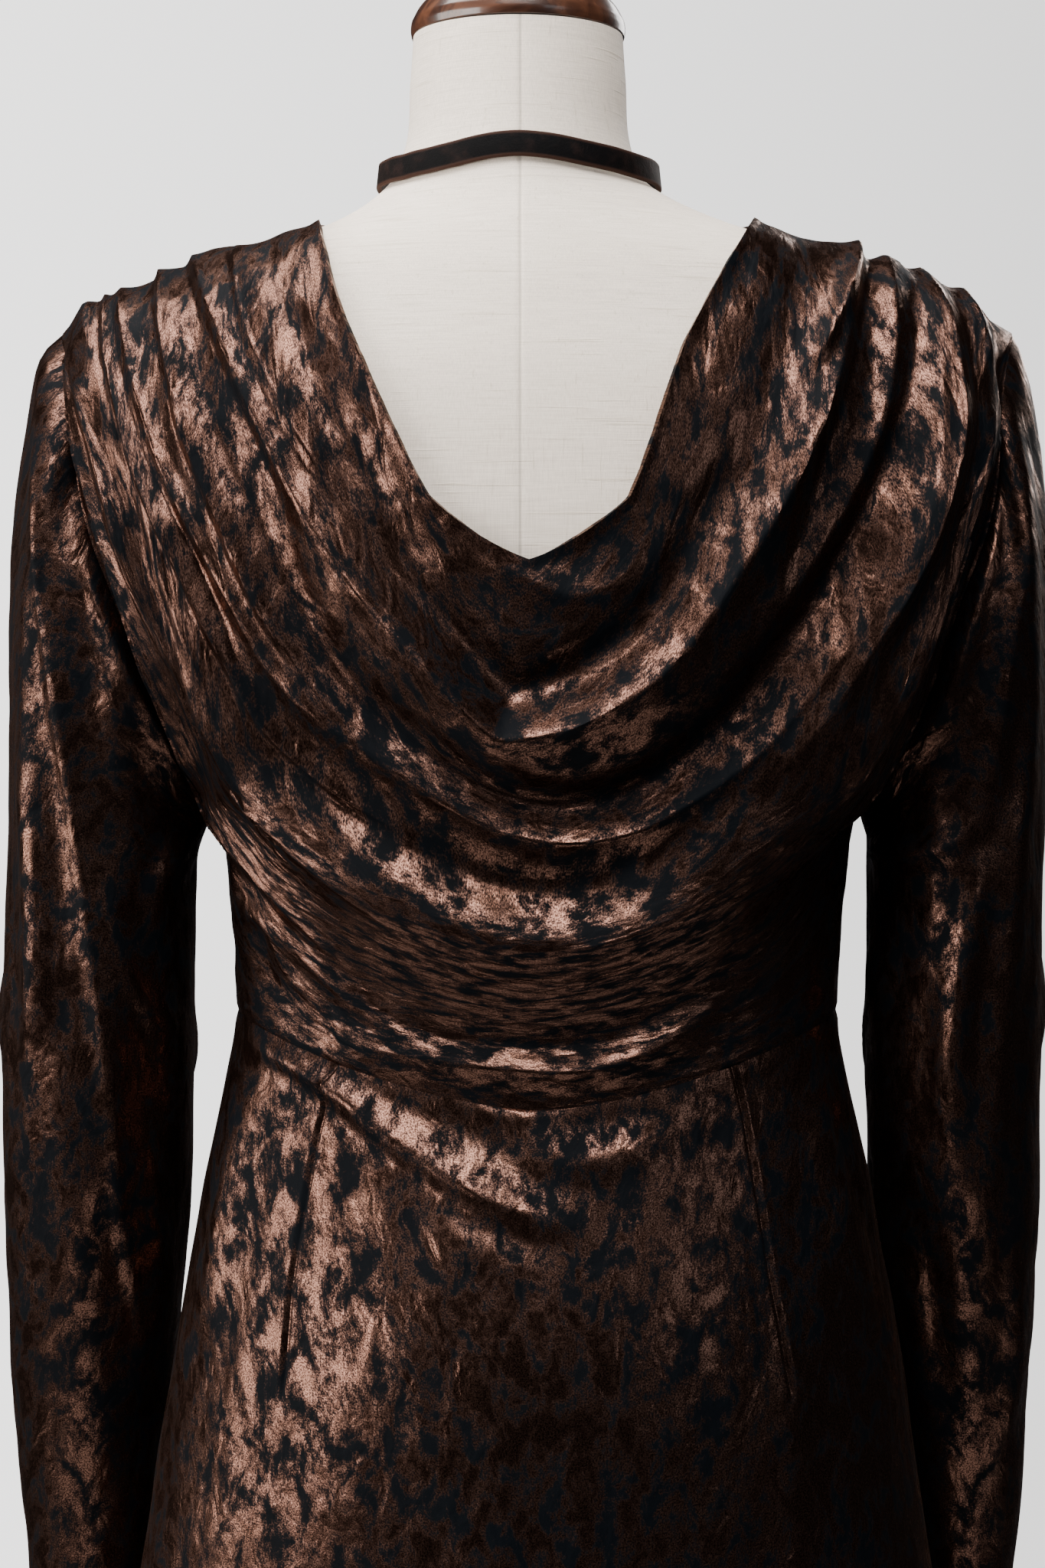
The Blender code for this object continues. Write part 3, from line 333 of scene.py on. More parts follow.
SEAM_X = -0.0080         # the seam down the form's centre back
FORM_SEAM_SINK, FORM_SEAM_REACH = 0.0005, 0.0009
BAND_STEPS, BAND_WAVE = 200, 0.0006
BAND_CENTRE_X, BAND_HALF_X = -0.0085, 0.0648
BAND_BACK, BAND_FRONT = 0.0612, 0.0665
BAND_TALL, BAND_THICK, BAND_LEAN = 0.0120, 0.0024, 0.0012
BAND_LIFT, BAND_FOLD = 0.0012, 0.0009
FLOOR_RADIUS = 1.3       # out of the photograph's frame
CAP_PROFILE = ((0.0000, 1.5110), (0.0120, 1.5100), (0.0260, 1.5062), (0.0390, 1.4985),
               (0.0475, 1.4900), (0.0508, 1.4835), (0.0512, 1.4800), (0.0506, 1.4766))
CAP_ROUNDS = (0, 0.004, 0.005, 0.005, 0.003, 0.001, 0.001, 0.0006)
# Name, place, aim, size, power and colour of each lamp
LAMPS = (
    ("side", (-2.3, -0.55, 1.30), (0, 0, 1.10), 1.4, 50, (1.0, 0.95, 0.90)),
    ("window", (-2.0, -1.65, 1.35), (0, 0, 1.20), 0.9, 30, (1.0, 0.96, 0.92)),
    ("overhead", (-0.55, -0.20, 2.85), (0, -0.05, 1.25), 1.4, 64, (1.0, 0.97, 0.94)),
    ("top", (0.0, -1.20, 2.75), (0, -0.1, 1.15), 1.1, 46, (1.0, 0.97, 0.94)),
    ("fill", (1.9, -2.4, 1.9), (0, 0, 1.25), 1.2, 6, (0.90, 0.95, 1.0)),
    ("behind", (1.5, 2.4, 2.3), (0, 0, 1.10), 1.3, 34, (1.0, 0.97, 0.95)),
)
# Each piece of cloth: its node, flat size, area as cut and the way it is held
CLOTHS = {
    "draped_back": ("back_bodice", (0.56, 0.58), 0.22, "draped"),
    "plain_front": ("front_bodice", (0.48, 0.40), 0.15, "stretched"),
    "skirt_back_panel": ("back_skirt", (0.62, 0.84), 0.38, "hung"),
    "skirt_front_panel": ("front_skirt", (0.60, 0.82), 0.37, "hung"),
    "sleeve_left": ("left_sleeve", (0.36, 0.62), 0.17, "hung"),
    "sleeve_right": ("right_sleeve", (0.36, 0.62), 0.17, "hung"),
    "neck_strap": ("neckband", (0.41, 0.015), 0.0060, "folded"),
}


def smooth_table(places, values, at):
    """Values of a table's column between its rows, on a smooth curve through them."""
    places, values, at = (np.asarray(a, float) for a in (places, values, at))
    rise = np.diff(values) / np.diff(places)
    slope = np.concatenate(([rise[0]], (rise[1:] + rise[:-1]) / 2, [rise[-1]]))
    flat = rise[1:] * rise[:-1] <= 0
    slope[1:-1][flat] = 0
    at = np.clip(at, places[0], places[-1])
    i = np.clip(np.searchsorted(places, at) - 1, 0, len(places) - 2)
    step = places[i + 1] - places[i]
    t = (at - places[i]) / step
    return ((2 * t**3 - 3 * t**2 + 1) * values[i] + (t**3 - 2 * t**2 + t) * step * slope[i]
            + (3 * t**2 - 2 * t**3) * values[i + 1] + (t**3 - t**2) * step * slope[i + 1])


def section(table, z, column):
    """One column of a body's level sections at the height z."""
    return smooth_table(table["z"], table[column], z)


def bust(x, z):
    """How far the bust stands out of the front at x and z."""
    off = ((np.abs(x) - BUST_X) ** 2 + (z - BUST_Z) ** 2) / BUST_SPREAD**2
    return BUST_RISE * np.exp(-off)


def hull_depth(table, x, z, side):
    """Y of the surface at x and z; side is 'back' or 'front'."""
    square = section(table, z, "square")
    share = np.clip(np.abs(x) / section(table, z, "half"), 0, 1)
    deep = section(table, z, side) * (1 - share**square) ** (1 / square)
    if side == "back":
        return -deep
    return deep + bust(x, z) * np.clip((1 - share) / 0.4, 0, 1)


def depth_of(side):
    """The depth of the dress at places (x, z), for from_view."""
    return lambda x, z: hull_depth(HULL, x, z, side)


def edge_path(side):
    """Places along the outer edge of one side of the bodice, and their seats."""
    column = 0 if side == "back" else 1
    places, seats = [], []
    for stretch, part in enumerate((SHOULDER_EDGE, ARMHOLE_EDGE, SIDE_EDGE)):
        z = np.array([row[2] for row in part])
        x = np.array([row[column] for row in part])
        fine = np.linspace(z[0], z[-1], 241)
        curve = np.stack((smooth_table(z[::-1], x[::-1], fine), fine), axis=1)
        run = np.concatenate(([0], np.cumsum(np.hypot(*np.diff(curve, axis=0).T))))
        share = np.linspace(0, 1, ARMHOLE_STEPS + 1)
        step = np.stack([np.interp(share * run[-1], run, curve[:, k]) for k in (0, 1)], axis=1)
        depth = np.zeros(len(step))
        if part is ARMHOLE_EDGE:
            depth[1:-1] = hull_depth(HULL, step[1:-1, 0], step[1:-1, 1], side)
        places += [(a, d, b) for (a, b), d in zip(step, depth)][stretch > 0:]
        seats += list(stretch + share)[stretch > 0:]
    return np.array(places), np.array(seats)


def on_edge(path, seat):
    """The place of a seat along an edge: 0 neck, 1 armhole, 2 side, 3 waist."""
    return np.array([np.interp(seat, path[1], path[0][:, k]) for k in range(3)])


def waist_z(x, side):
    """Height of the waist seam, which dips toward the middle."""
    share = np.clip(np.abs(x) / SIDE_EDGE[-1][0], 0, 1)
    dip = WAIST_DIP if side == "back" else FRONT_DIP
    return WAIST_Z - dip * (1 - share**1.6)


def swag_points(swags, side, size):
    """Grid of (x, z) whose rows follow the swags, with the rows' places and seats."""
    path = edge_path(side)
    columns, shoulder_rows, side_rows = size
    t = np.linspace(0, 1, columns + 1)
    across = EVEN_COLUMNS * t + (1 - EVEN_COLUMNS) * (1 - np.cos(math.pi * t)) / 2
    knots = np.linspace(0, 1, 7)
    waist_x = SIDE_EDGE[-1][0] * np.sin((knots[1:-1] - 0.5) * math.pi)
    waist = [(x, waist_z(x, side)) for x in waist_x]
    guides = [*swags, (3.0, *waist, 3.0)]
    curves = np.zeros((len(guides), columns + 1, 2))
    for g, (left, *way, right) in enumerate(guides):
        start = on_edge(path, left)[[0, 2]] * (-1, 1)
        end = on_edge(path, right)[[0, 2]]
        for k in (0, 1):
            curve = [start[k], *[place[k] for place in way], end[k]]
            curves[g, :, k] = smooth_table(knots, curve, across)
            if g == 0 and side == "back":
                straight = np.interp(across, knots, curve)
                curves[g, :, k] += NECKLINE_CRISP * (straight - curves[g, :, k])

    places = np.arange(len(guides))
    middle = [(g[0] + g[-1]) / 2 for g in guides]
    shoulder_swags = sum(seat <= 1 for seat in middle)
    even = np.linspace(0, shoulder_swags - 1, shoulder_rows + 1)
    seat = np.concatenate((np.interp(even, places, middle),
                           np.linspace(1, 2, ARMHOLE_STEPS + 1),
                           np.linspace(2, 3, side_rows + 1)))
    seat = np.unique(np.round(seat, 5))
    down = np.interp(seat, middle, places)
    on_shoulder = [g for g in guides if g[0] <= 1]
    known = [(g[0] + g[-1]) / 2 for g in on_shoulder if g[0] < 1] + [1, 3]
    seats = [np.interp(seat, known, [g[end] for g in on_shoulder if g[0] < 1] + [1, 3])
             for end in (0, -1)]

    grid = np.zeros((len(seat), columns + 1, 2))
    for c in range(columns + 1):
        for k in (0, 1):
            grid[:, c, k] = smooth_table(places, curves[:, c, k], down)
    for c, sign, ends in ((0, -1, seats[0]), (columns, 1, seats[1])):
        fade = np.clip(1 - np.abs(across - across[c]) / EDGE_FADE, 0, 1) ** 2
        for r, end in enumerate(ends):
            place = on_edge(path, end)[[0, 2]] * (sign, 1)
            grid[r] += fade[:, None] * (place - grid[r, c])
            if 1 < end <= 3:
                steps = np.abs(np.arange(columns + 1) - c)
                near = steps < columns // 8
                within = abs(place[0]) - EDGE_MARGIN * steps
                grid[r, near, 0] = sign * np.minimum(sign * grid[r, near, 0], within[near])
    grid[-1, :, 1] = waist_z(grid[-1, :, 0], side)
    return grid, across, seats


def grid_normals(points, closed=False):
    """Unit normals of a grid."""
    if closed:
        across = np.roll(points, -1, 1) - np.roll(points, 1, 1)
    else:
        across = np.gradient(points, axis=1)
    normal = np.cross(across, np.gradient(points, axis=0))
    return normal / np.maximum(np.linalg.norm(normal, axis=2, keepdims=True), 1e-9)


def lean(inward, row, column, direction, share):
    """Turn one inward way by a share toward another direction."""
    v = inward[row, column] * (1 - share) + np.asarray(direction) * share
    inward[row, column] = v / np.linalg.norm(v)


def armhole_inward(point):
    """The way into the armhole's seam, so that bodice and sleeve meet face to face."""
    side = math.copysign(1, point[0])
    v = np.array((0.0, ARMHOLE_CENTRE[1] - point[1], ARMHOLE_CENTRE[2] - point[2]))
    v[0] = 0.15 * -side * np.linalg.norm(v)
    return v / np.linalg.norm(v)


def from_view(places, depth_at):
    """Places (x, z) on a surface for places in the photograph's view."""
    focal = LENS / SENSOR * VIEW_SIZE[1]
    u, v = np.array(places, float).T
    depth = np.full(len(u), -0.10)
    for _ in range(4):
        away = (depth - CAMERA_AT[1]) / focal
        x = (u - VIEW_SIZE[0] / 2) * away + CAMERA_AT[0]
        z = CAMERA_AT[2] - (v - VIEW_SIZE[1] / 2) * away
        depth = depth_at(x, z)
    return np.stack((x, z), axis=1)


def smooth_line(places, steps):
    """A smooth curve through places, as evenly spaced points, and the share along it."""
    places = np.asarray(places, float)
    run = np.concatenate(([0], np.cumsum(np.linalg.norm(np.diff(places, axis=0), axis=1))))
    at = np.linspace(0, run[-1], steps)
    return np.stack([smooth_table(run, places[:, k], at) for k in (0, 1)], axis=1), at / run[-1]


def ramp(value, low, high):
    """0 below low, 1 above high and smooth between."""
    t = np.clip((value - low) / (high - low), 0, 1)
    return t * t * (3 - 2 * t)


def fold(a, b, places, inner, outer, heights, crisp, arms=None):
    """Rise of one fold at each place (a, b) of a surface.

    Its crest runs through places; it reaches inner to the left of that way and outer to the
    right, and a shallow trough runs along its inner foot. Arms gives other reaches for its
    first and its last end, where a pleat is steep on its outer side.
    """
    arms = arms or ((inner, outer), (inner, outer))
    line, share = smooth_line(places, 90)
    tangent = np.gradient(line, axis=0)
    tangent /= np.linalg.norm(tangent, axis=1, keepdims=True)
    length = np.linalg.norm(np.diff(line, axis=0), axis=1).sum()
    step = length / (len(line) - 1)
    flat = np.stack((a.ravel(), b.ravel()), axis=1)
    widest = 1.8 * max(inner, outer, *arms[0], *arms[1]) + inner
    low, high = line.min(axis=0) - widest, line.max(axis=0) + widest
    near = np.flatnonzero(np.all((flat > low) & (flat < high), axis=1))
    rise = np.zeros(len(flat))
    for some in np.array_split(near, max(1, len(near) // 4000)):
        if not len(some):
            continue
        gap = flat[some][:, None, :] - line[None]
        far = np.linalg.norm(gap, axis=2)
        best = far.argmin(axis=1)
        picked = gap[np.arange(len(some)), best]
        way = tangent[best]
        left = way[:, 0] * picked[:, 1] - way[:, 1] * picked[:, 0] > 0
        past = np.clip(np.sum(way * picked, axis=1), -step / 2, step / 2)
        distance = np.linalg.norm(picked - way * past[:, None], axis=1)
        at = np.clip(share[best] + past / length, 0, 1)
        first, last = 1 - ramp(at, *FIRST_ARM), ramp(at, *LAST_ARM)
        near_in, near_out = (reach + first * (ends[0] - reach) + last * (ends[1] - reach)
                             for reach, ends in zip((inner, outer), zip(*arms)))
        r = np.clip(distance / np.where(left, near_in, near_out), 0, 1)
        soft, sharp = (1 - r**2) ** 2, (1 - r) ** 2
        height = smooth_table(np.linspace(0, 1, len(heights)), heights, at)
        off = (distance / near_in - TROUGH_AT) / TROUGH_SPREAD
        trough = np.where(left & (height > 0), TROUGH_DEPTH * np.exp(-(off**2)), 0)
        rise[some] = height * (soft * (1 - crisp) + sharp * crisp - trough)
    return rise.reshape(a.shape)


def crush(points, layers, more=0):
    """Small uneven dents of crushed cloth, as a rise at each point; more adds to each seed."""
    rise = np.zeros(points.shape[:2])
    for scale, height, seed in layers:
        seed += more
        shift = Vector((seed * 3.7, seed * 1.3, seed * 5.1))
        for r, row in enumerate(points):
            for c, p in enumerate(row):
                rise[r, c] += height * noise.noise(Vector(p) * scale + shift)
    return rise


def turn_faces_out(mesh):
    shape = bmesh.new()
    shape.from_mesh(mesh)
    bmesh.ops.recalc_face_normals(shape, faces=shape.faces)
    shape.to_mesh(mesh)
    shape.free()


def gap_from(line, points):
    """Distance of each point of a grid from the point of a line in its row or column."""
    return np.linalg.norm(points - line, axis=2)


def sheet_mesh(name, outer, inner, grain, closed=False):
    """A shell between a grid of outer points and the same points moved in.

    The UV map holds the cloth's own measures in metres, across and down.
    """
    rows, columns = outer.shape[:2]
    count = rows * columns
    around = columns if closed else columns - 1
    index = np.arange(count).reshape(rows, columns)
    a = index[:-1, :around]
    b = index[1:, :around]
    right = (np.arange(around) + 1) % columns
    c, d = index[1:, right], index[:-1, right]
    skin = np.stack((a, b, c, d), axis=2).reshape(-1, 4)
    faces = [*skin.tolist(), *(skin[:, ::-1] + count).tolist()]
    rim = [(index[0, k], index[0, n]) for k, n in zip(range(around), right)]
    rim += [(index[-1, n], index[-1, k]) for k, n in zip(range(around), right)]
    if not closed:
        rim += [(index[r + 1, 0], index[r, 0]) for r in range(rows - 1)]
        rim += [(index[r, -1], index[r + 1, -1]) for r in range(rows - 1)]
    faces += [(int(p), int(q), int(q) + count, int(p) + count) for p, q in rim]
    mesh = bpy.data.meshes.new(name)
    vertices = np.concatenate((outer.reshape(-1, 3), inner.reshape(-1, 3)))
    mesh.from_pydata(vertices.tolist(), [], faces)
    layer = mesh.uv_layers.new(name="grain")
    corners = np.empty(len(mesh.loops), dtype=np.int64)
    mesh.loops.foreach_get("vertex_index", corners)
    layer.data.foreach_set("uv", grain.reshape(-1, 2)[corners % count].ravel())
    turn_faces_out(mesh)
    return mesh


def place(name, mesh, finish):
    """A piece of the object with its own material, smooth but for its sharp rims."""
    piece = bpy.data.objects.new(name, mesh)
    mesh.materials.clear()
    mesh.materials.append(finish)
    mesh.shade_smooth()
    mesh.set_sharp_from_angle(angle=math.radians(65))
    bpy.context.scene.collection.objects.link(piece)
    return piece


def measures(points):
    """The cloth's own measures at each point of a grid: metres across and down."""
    across = np.linalg.norm(np.diff(points, axis=1), axis=2)
    down = np.linalg.norm(np.diff(points, axis=0), axis=2)
    u = np.concatenate((np.zeros((len(points), 1)), np.cumsum(across, axis=1)), axis=1)
    u -= u[:, u.shape[1] // 2][:, None]
    v = np.concatenate((np.zeros((1, points.shape[1])), np.cumsum(down, axis=0)), axis=0)
    return np.stack((u, v.mean(axis=1, keepdims=True) * np.ones_like(u)), axis=2)


def along_the_fall(points):
    """The same measures, with the first one down the piece, where the pile's patches run."""
    return measures(points)[..., ::-1]


def seam_sink(distance):
    """How a seam pulls the cloth in at a distance from it."""
    return -SEAM_SINK * np.exp(-((distance / SEAM_REACH) ** 2))


def bodice(name, side, swags, size, rises, finish):
    """The back or the front above the waist seam; rises gives its folds at (x, z)."""
    sign = -1 if side == "back" else 1
    flat, across, seats = swag_points(swags, side, size)
    path = edge_path(side)
    rows, columns = len(flat) - 1, len(across) - 1
    points = np.stack((flat[..., 0], hull_depth(HULL, flat[..., 0], flat[..., 1], side),
                       flat[..., 1]), axis=2)
    normal = grid_normals(points)
    outward = np.where((normal[..., 1] * sign)[..., None] < 0, -normal, normal)
    rise = rises(flat[..., 0], flat[..., 1], points)
    # The folds end flat at the seams, which sink a little into the cloth
    gap_side = np.minimum(gap_from(points[:, :1], points), gap_from(points[:, -1:], points))
    gap_waist, gap_neck = gap_from(points[-1:], points), gap_from(points[:1], points)
    rise = rise + NECK_ROLL * np.exp(-((gap_neck / NECK_ROLL_REACH) ** 2))
    kept = np.zeros((rows + 1, 1))
    kept[:, 0] = np.where(np.array(seats[0]) < 0.97, SHOULDER_KEEPS, 0)
    settle = kept + (1 - kept) * np.clip(gap_side / SETTLE["bodice"], 0, 1) ** SETTLE_POWER
    settle = settle * np.clip(gap_waist / SETTLE["waist"], 0, 1) ** SETTLE_POWER
    rise = rise * settle + seam_sink(gap_side) + seam_sink(gap_waist)
    points += outward * rise[..., None]
    for r in range(rows + 1):
        for c, seat, turn in ((0, seats[0][r], -1), (columns, seats[1][r], 1)):
            spot = on_edge(path, seat) * (turn, 1, 1)
            if 1 <= seat <= 2:
                points[r, c] = spot - (turn * SEAM_GAP / 2, 0, 0)
            else:
                points[r, c, 1] = 0
    points[..., 1] = sign * np.maximum(sign * points[..., 1], SEAM_GAP / 2)
    points[-1, :, 2] += SEAM_GAP / 2
    normal = grid_normals(points)
    inward = np.where((normal[..., 1] * sign)[..., None] > 0, -normal, normal)
    for r in range(rows + 1):
        for c, step, seat, turn in ((0, 1, seats[0][r], -1), (columns, -1, seats[1][r], 1)):
            way = (-turn, 0, 0)
            if seat < 1:
                way = (0, 0, -1)
            elif seat <= 2:
                way = armhole_inward(points[r, c])
            for n, share in enumerate(LEAN_SHARES):
                lean(inward, r, c + step * n, way, share)
    for c in range(columns + 1):
        for n, share in enumerate(WAIST_LEANS):
            level = inward[rows - n, c] * (1, 1, 0)
            lean(inward, rows - n, c, level / np.linalg.norm(level), share)
    turned_edge = NECK_TURN * np.exp(-((gap_neck / NECK_TURN_REACH) ** 2))
    thick = CLOTH + (turned_edge if side == "back" else 0 * turned_edge)
    inner = points + thick[..., None] * inward
    inner[..., 1] = sign * np.maximum(sign * inner[..., 1], SEAM_GAP / 2)
    return place(name, sheet_mesh(name, points, inner, measures(points)), finish)


def cowl_rises(x, z, points):
    """The draped back: its folds, and the uneven surface of crushed velvet."""
    total = np.zeros(x.shape)
    for places, *shape in COWL_FOLDS:
        total += fold(x, z, from_view(places, depth_of("back")), *shape)
    return total + crush(points, COWL_CRUSH)


def front_rises(x, z, points):
    """The plain front: a few soft folds, and the same surface."""
    total = np.zeros(x.shape)
    for places, reach, height in FRONT_FOLDS:
        total += fold(x, z, places, reach, reach, (0.0, height, 0.0), 0.3)
    return total + crush(points, FRONT_CRUSH)


def skirt(name, side, finish):
    """The back or the front of the skirt, from the waist seam to the hem.

    On the back, a column of the grid runs down each dart.
    """
    sign = -1 if side == "back" else 1
    darts = [from_view(line, depth_of(side)) for line in SKIRT_DARTS]
    bunched = 0.5 + 0.5 * np.sin((np.linspace(0, 1, SKIRT_BUNCHED) - 0.5) * math.pi)
    even = np.linspace(0, 1, SKIRT_EVEN)
    fine = [c + k * 0.0022 for c in DART_COLUMNS for k in (-3, -2, -1, -0.5, 0, 0.5, 1, 2, 3)]
    share = np.unique(np.round(np.concatenate((bunched, even, fine)), 5))
    down = np.linspace(0, 1, SKIRT_ROWS + 1) ** 1.15
    points = np.zeros((SKIRT_ROWS + 1, len(share), 3))
    off_dart = np.full(points.shape[:2], 1.0)
    for r, drop in enumerate(down):
        level = waist_z(0.075, side) * (1 - drop) + HEM_Z * drop
        half, square = section(HULL, level, "half"), section(HULL, level, "square")
        stops = []
        for line in darts:
            x = np.interp(-level, -line[:, 1], line[:, 0])
            stops.append(math.asin(min(1.0, (abs(x) / half) ** (square / 2)))
                         * math.copysign(1, x))
        knots = (0, DART_COLUMNS[0], 0.5, DART_COLUMNS[1], 1)
        turns = (-math.pi / 2, stops[0], (stops[0] + stops[1]) / 2, stops[1], math.pi / 2)
        theta = smooth_table(knots, turns, share)
        x = SIDE_EDGE[-1][0] * np.sin(theta)
        for _ in range(6):
            top = waist_z(x, side)
            power = 2 / section(HULL, top, "square")
            x = section(HULL, top, "half") * np.sign(x) * np.abs(np.sin(theta)) ** power
        z = waist_z(x, side) * (1 - drop) + HEM_Z * drop
        square = section(HULL, z, "square")
        points[r, :, 0] = (section(HULL, z, "half") * np.sign(np.sin(theta))
                           * np.abs(np.sin(theta)) ** (2 / square))
        points[r, :, 1] = sign * section(HULL, z, side) * np.abs(np.cos(theta)) ** (2 / square)
        points[r, :, 2] = z
        for stop, line in zip(DART_COLUMNS, darts):
            if side == "back" and level > line[-1, 1]:
                c = int(np.abs(share - stop).argmin())
                off = np.abs(points[r, :, 0] - points[r, c, 0])
                off_dart[r] = np.minimum(off_dart[r], off)
    turn = np.degrees(np.arctan2(points[..., 0], -points[..., 1]))
    out = points * (1, 1, 0)
    out /= np.maximum(np.linalg.norm(out, axis=2, keepdims=True), 1e-9)
    rise = np.zeros(points.shape[:2])
    for angle, spread, top, height in SKIRT_FOLDS:
        away = (turn - angle + 180) % 360 - 180
        drop = np.clip((top - points[..., 2]) / (top - HEM_Z), 0, 1) ** 1.3
        rise += height * np.exp(-(away / spread) ** 2) * drop
    if side == "back":
        for places, *shape in SKIRT_CREASES:
            seen = from_view(places, depth_of(side))
            rise += fold(points[..., 0], points[..., 2], seen, *shape)
    rise += crush(points * (1, 1, 0.45), SKIRT_CRUSH, sign)
    gap_side = np.minimum(gap_from(points[:, :1], points), gap_from(points[:, -1:], points))
    gap_waist = gap_from(points[:1], points)
    settle = np.clip(gap_side / SETTLE["skirt"], 0, 1) * np.clip(gap_waist / SETTLE["waist"], 0, 1)
    rise = rise * settle + seam_sink(gap_side) + seam_sink(gap_waist)
    rise += DART_WELT * np.exp(-(((off_dart - WELT_AT) / WELT_SPREAD) ** 2))
    rise -= DART_SINK * np.exp(-((off_dart / DART_REACH) ** 2))
    points += out * rise[..., None]
    points[0, :, 2] -= SEAM_GAP / 2
    points[..., 1] = sign * np.maximum(sign * points[..., 1], SEAM_GAP / 2)
    normal = grid_normals(points)
    inward = np.where(np.sum(normal * out, axis=2)[..., None] > 0, -normal, normal)
    last = len(share) - 1
    for r in range(SKIRT_ROWS + 1):
        for c, step, way in ((0, 1, 1), (last, -1, -1)):
            for n, part in enumerate(LEAN_SHARES):
                lean(inward, r, c + step * n, (way, 0, 0), part)
    for c in range(last + 1):
        for n, part in enumerate(SKIRT_TOP_LEANS):
            level = inward[n, c] * (1, 1, 0)
            lean(inward, n, c, level / np.linalg.norm(level), part)
    inner = points + CLOTH * inward
    inner[..., 1] = sign * np.maximum(sign * inner[..., 1], SEAM_GAP / 2)
    return place(name, sheet_mesh(name, points, inner, along_the_fall(points)), finish)


def armhole_loop():
    """The armhole's seam, from the shoulder down the back and up the front."""
    armhole = slice(ARMHOLE_STEPS, 2 * ARMHOLE_STEPS + 1)
    back, front = (edge_path(side)[0][armhole] for side in ("back", "front"))
    return np.concatenate((back, front[-2:0:-1]))


def sleeve(name, side, creases, finish):
    """One long sleeve from the armhole seam to the cuff; side is -1 or 1."""
    start = armhole_loop()
    start[:, 0] += SEAM_GAP / 2
    turn = np.arange(len(start)) * 360 / len(start)
    angle = np.radians(turn)
    heights = np.linspace(SLEEVE["z"][-1], SLEEVE["z"][0], ARM_ROWS + 1)
    rings = [np.stack((section(SLEEVE, z, "x") + section(SLEEVE, z, "half") * np.cos(angle),
                       section(SLEEVE, z, "y") - section(SLEEVE, z, "deep") * np.sin(angle),
                       np.full(len(turn), z)), axis=1) for z in heights]
    first = rings[0]
    run = np.linalg.norm(first - start, axis=1, keepdims=True)
    outer = (1 + np.cos(angle))[:, None] / 2
    leave = np.stack((0.12 * outer[:, 0] + 0.10, -0.45 * np.sin(angle),
                      -1.0 + 0.25 * outer[:, 0]), axis=1)
    leave /= np.linalg.norm(leave, axis=1, keepdims=True)
    cap = []
    for t in np.arange(CAP_ROWS) / CAP_ROWS:
        p1 = start + leave * run * HEAD_PULL
        p2 = first + (0, 0, 1) * run * ARM_PULL
        cap.append((1 - t) ** 3 * start + 3 * (1 - t) ** 2 * t * p1
                   + 3 * (1 - t) * t**2 * p2 + t**3 * first)
    points = np.array(cap + rings)
    # The head stands out a little past the seam, and both arms hang a little to the left
    gap = gap_from(points[:1], points)
    facing = np.broadcast_to((1 + np.cos(angle)) / 2, gap.shape)
    fades = np.clip((points[..., 2] - 1.12) / 0.20, 0, 1)
    points[..., 0] += SLEEVE_HEAD[side] * facing**2 * fades * (1 - np.exp(-gap / 0.006))
    hangs = np.clip((1.30 - points[..., 2]) / 0.30, 0, 1) * (0.45 + 0.55 * facing)
    points[..., 0] += SLEEVE_HANG[side] * hangs * np.clip(gap / 0.05, 0, 1)
    centre = points.mean(axis=1, keepdims=True)
    out = (points - centre) * (1, 1, 0)
    out /= np.maximum(np.linalg.norm(out, axis=2, keepdims=True), 1e-9)
    rise = np.zeros(points.shape[:2])
    for middle, spread, top, foot, height, drift in SLEEVE_FOLDS:
        drop = np.clip((top - points[..., 2]) / (top - foot), 0, 1)
        away = (turn[None, :] - middle - drift * drop + 180) % 360 - 180
        rise += height * np.exp(-(away / spread) ** 2) * np.sin(math.pi * drop) ** 0.7
    # The hidden sides' wrinkles lie in (metres around, height); the back's in (x, z)
    around = SLEEVE_RADIUS * angle[None, :] * np.ones_like(rise)
    for a0, z0, a1, z1, height in SLEEVE_WRINKLES:
        way = ((a0, z0), ((a0 + a1) / 2, (z0 + z1) / 2 - 0.008), (a1, z1))
        for lap in (0, 360):
            ends = [(SLEEVE_RADIUS * math.radians(a - lap), z) for a, z in way]
            rise += fold(around, points[..., 2], ends, 0.010, 0.008, (0.0, height, 0.0), 0.5)
    def depth(_, z):
        return section(SLEEVE, z, "y") - 0.8 * section(SLEEVE, z, "deep")

    faces_back = np.clip(-(points[..., 1] - centre[..., 1]) / 0.012, 0, 1)
    for places, *shape in creases:
        rise += faces_back * fold(side * points[..., 0], points[..., 2],
                                  from_view(places, depth), *shape)
    rise += crush(points * (side, 1, 0.5), SLEEVE_CRUSH, side)
    gap = gap_from(points[:1], points)
    rise = rise * np.clip(gap / SETTLE["sleeve"], 0, 1) + seam_sink(gap)
    rise[0] = 0
    points += out * rise[..., None]
    points[..., 0] *= side
    normal = grid_normals(points, closed=True)
    centre = points.mean(axis=1, keepdims=True)
    inward = np.where(np.sum(normal * (points - centre), axis=2)[..., None] > 0, -normal, normal)
    for c in range(len(start)):
        for n, share in enumerate(LEAN_SHARES):
            lean(inward, n, c, armhole_inward(points[0, c]), share)
    grain = along_the_fall(points)
    mesh = sheet_mesh(name, points, points + CLOTH * inward, grain, closed=True)
    return place(name, mesh, finish)


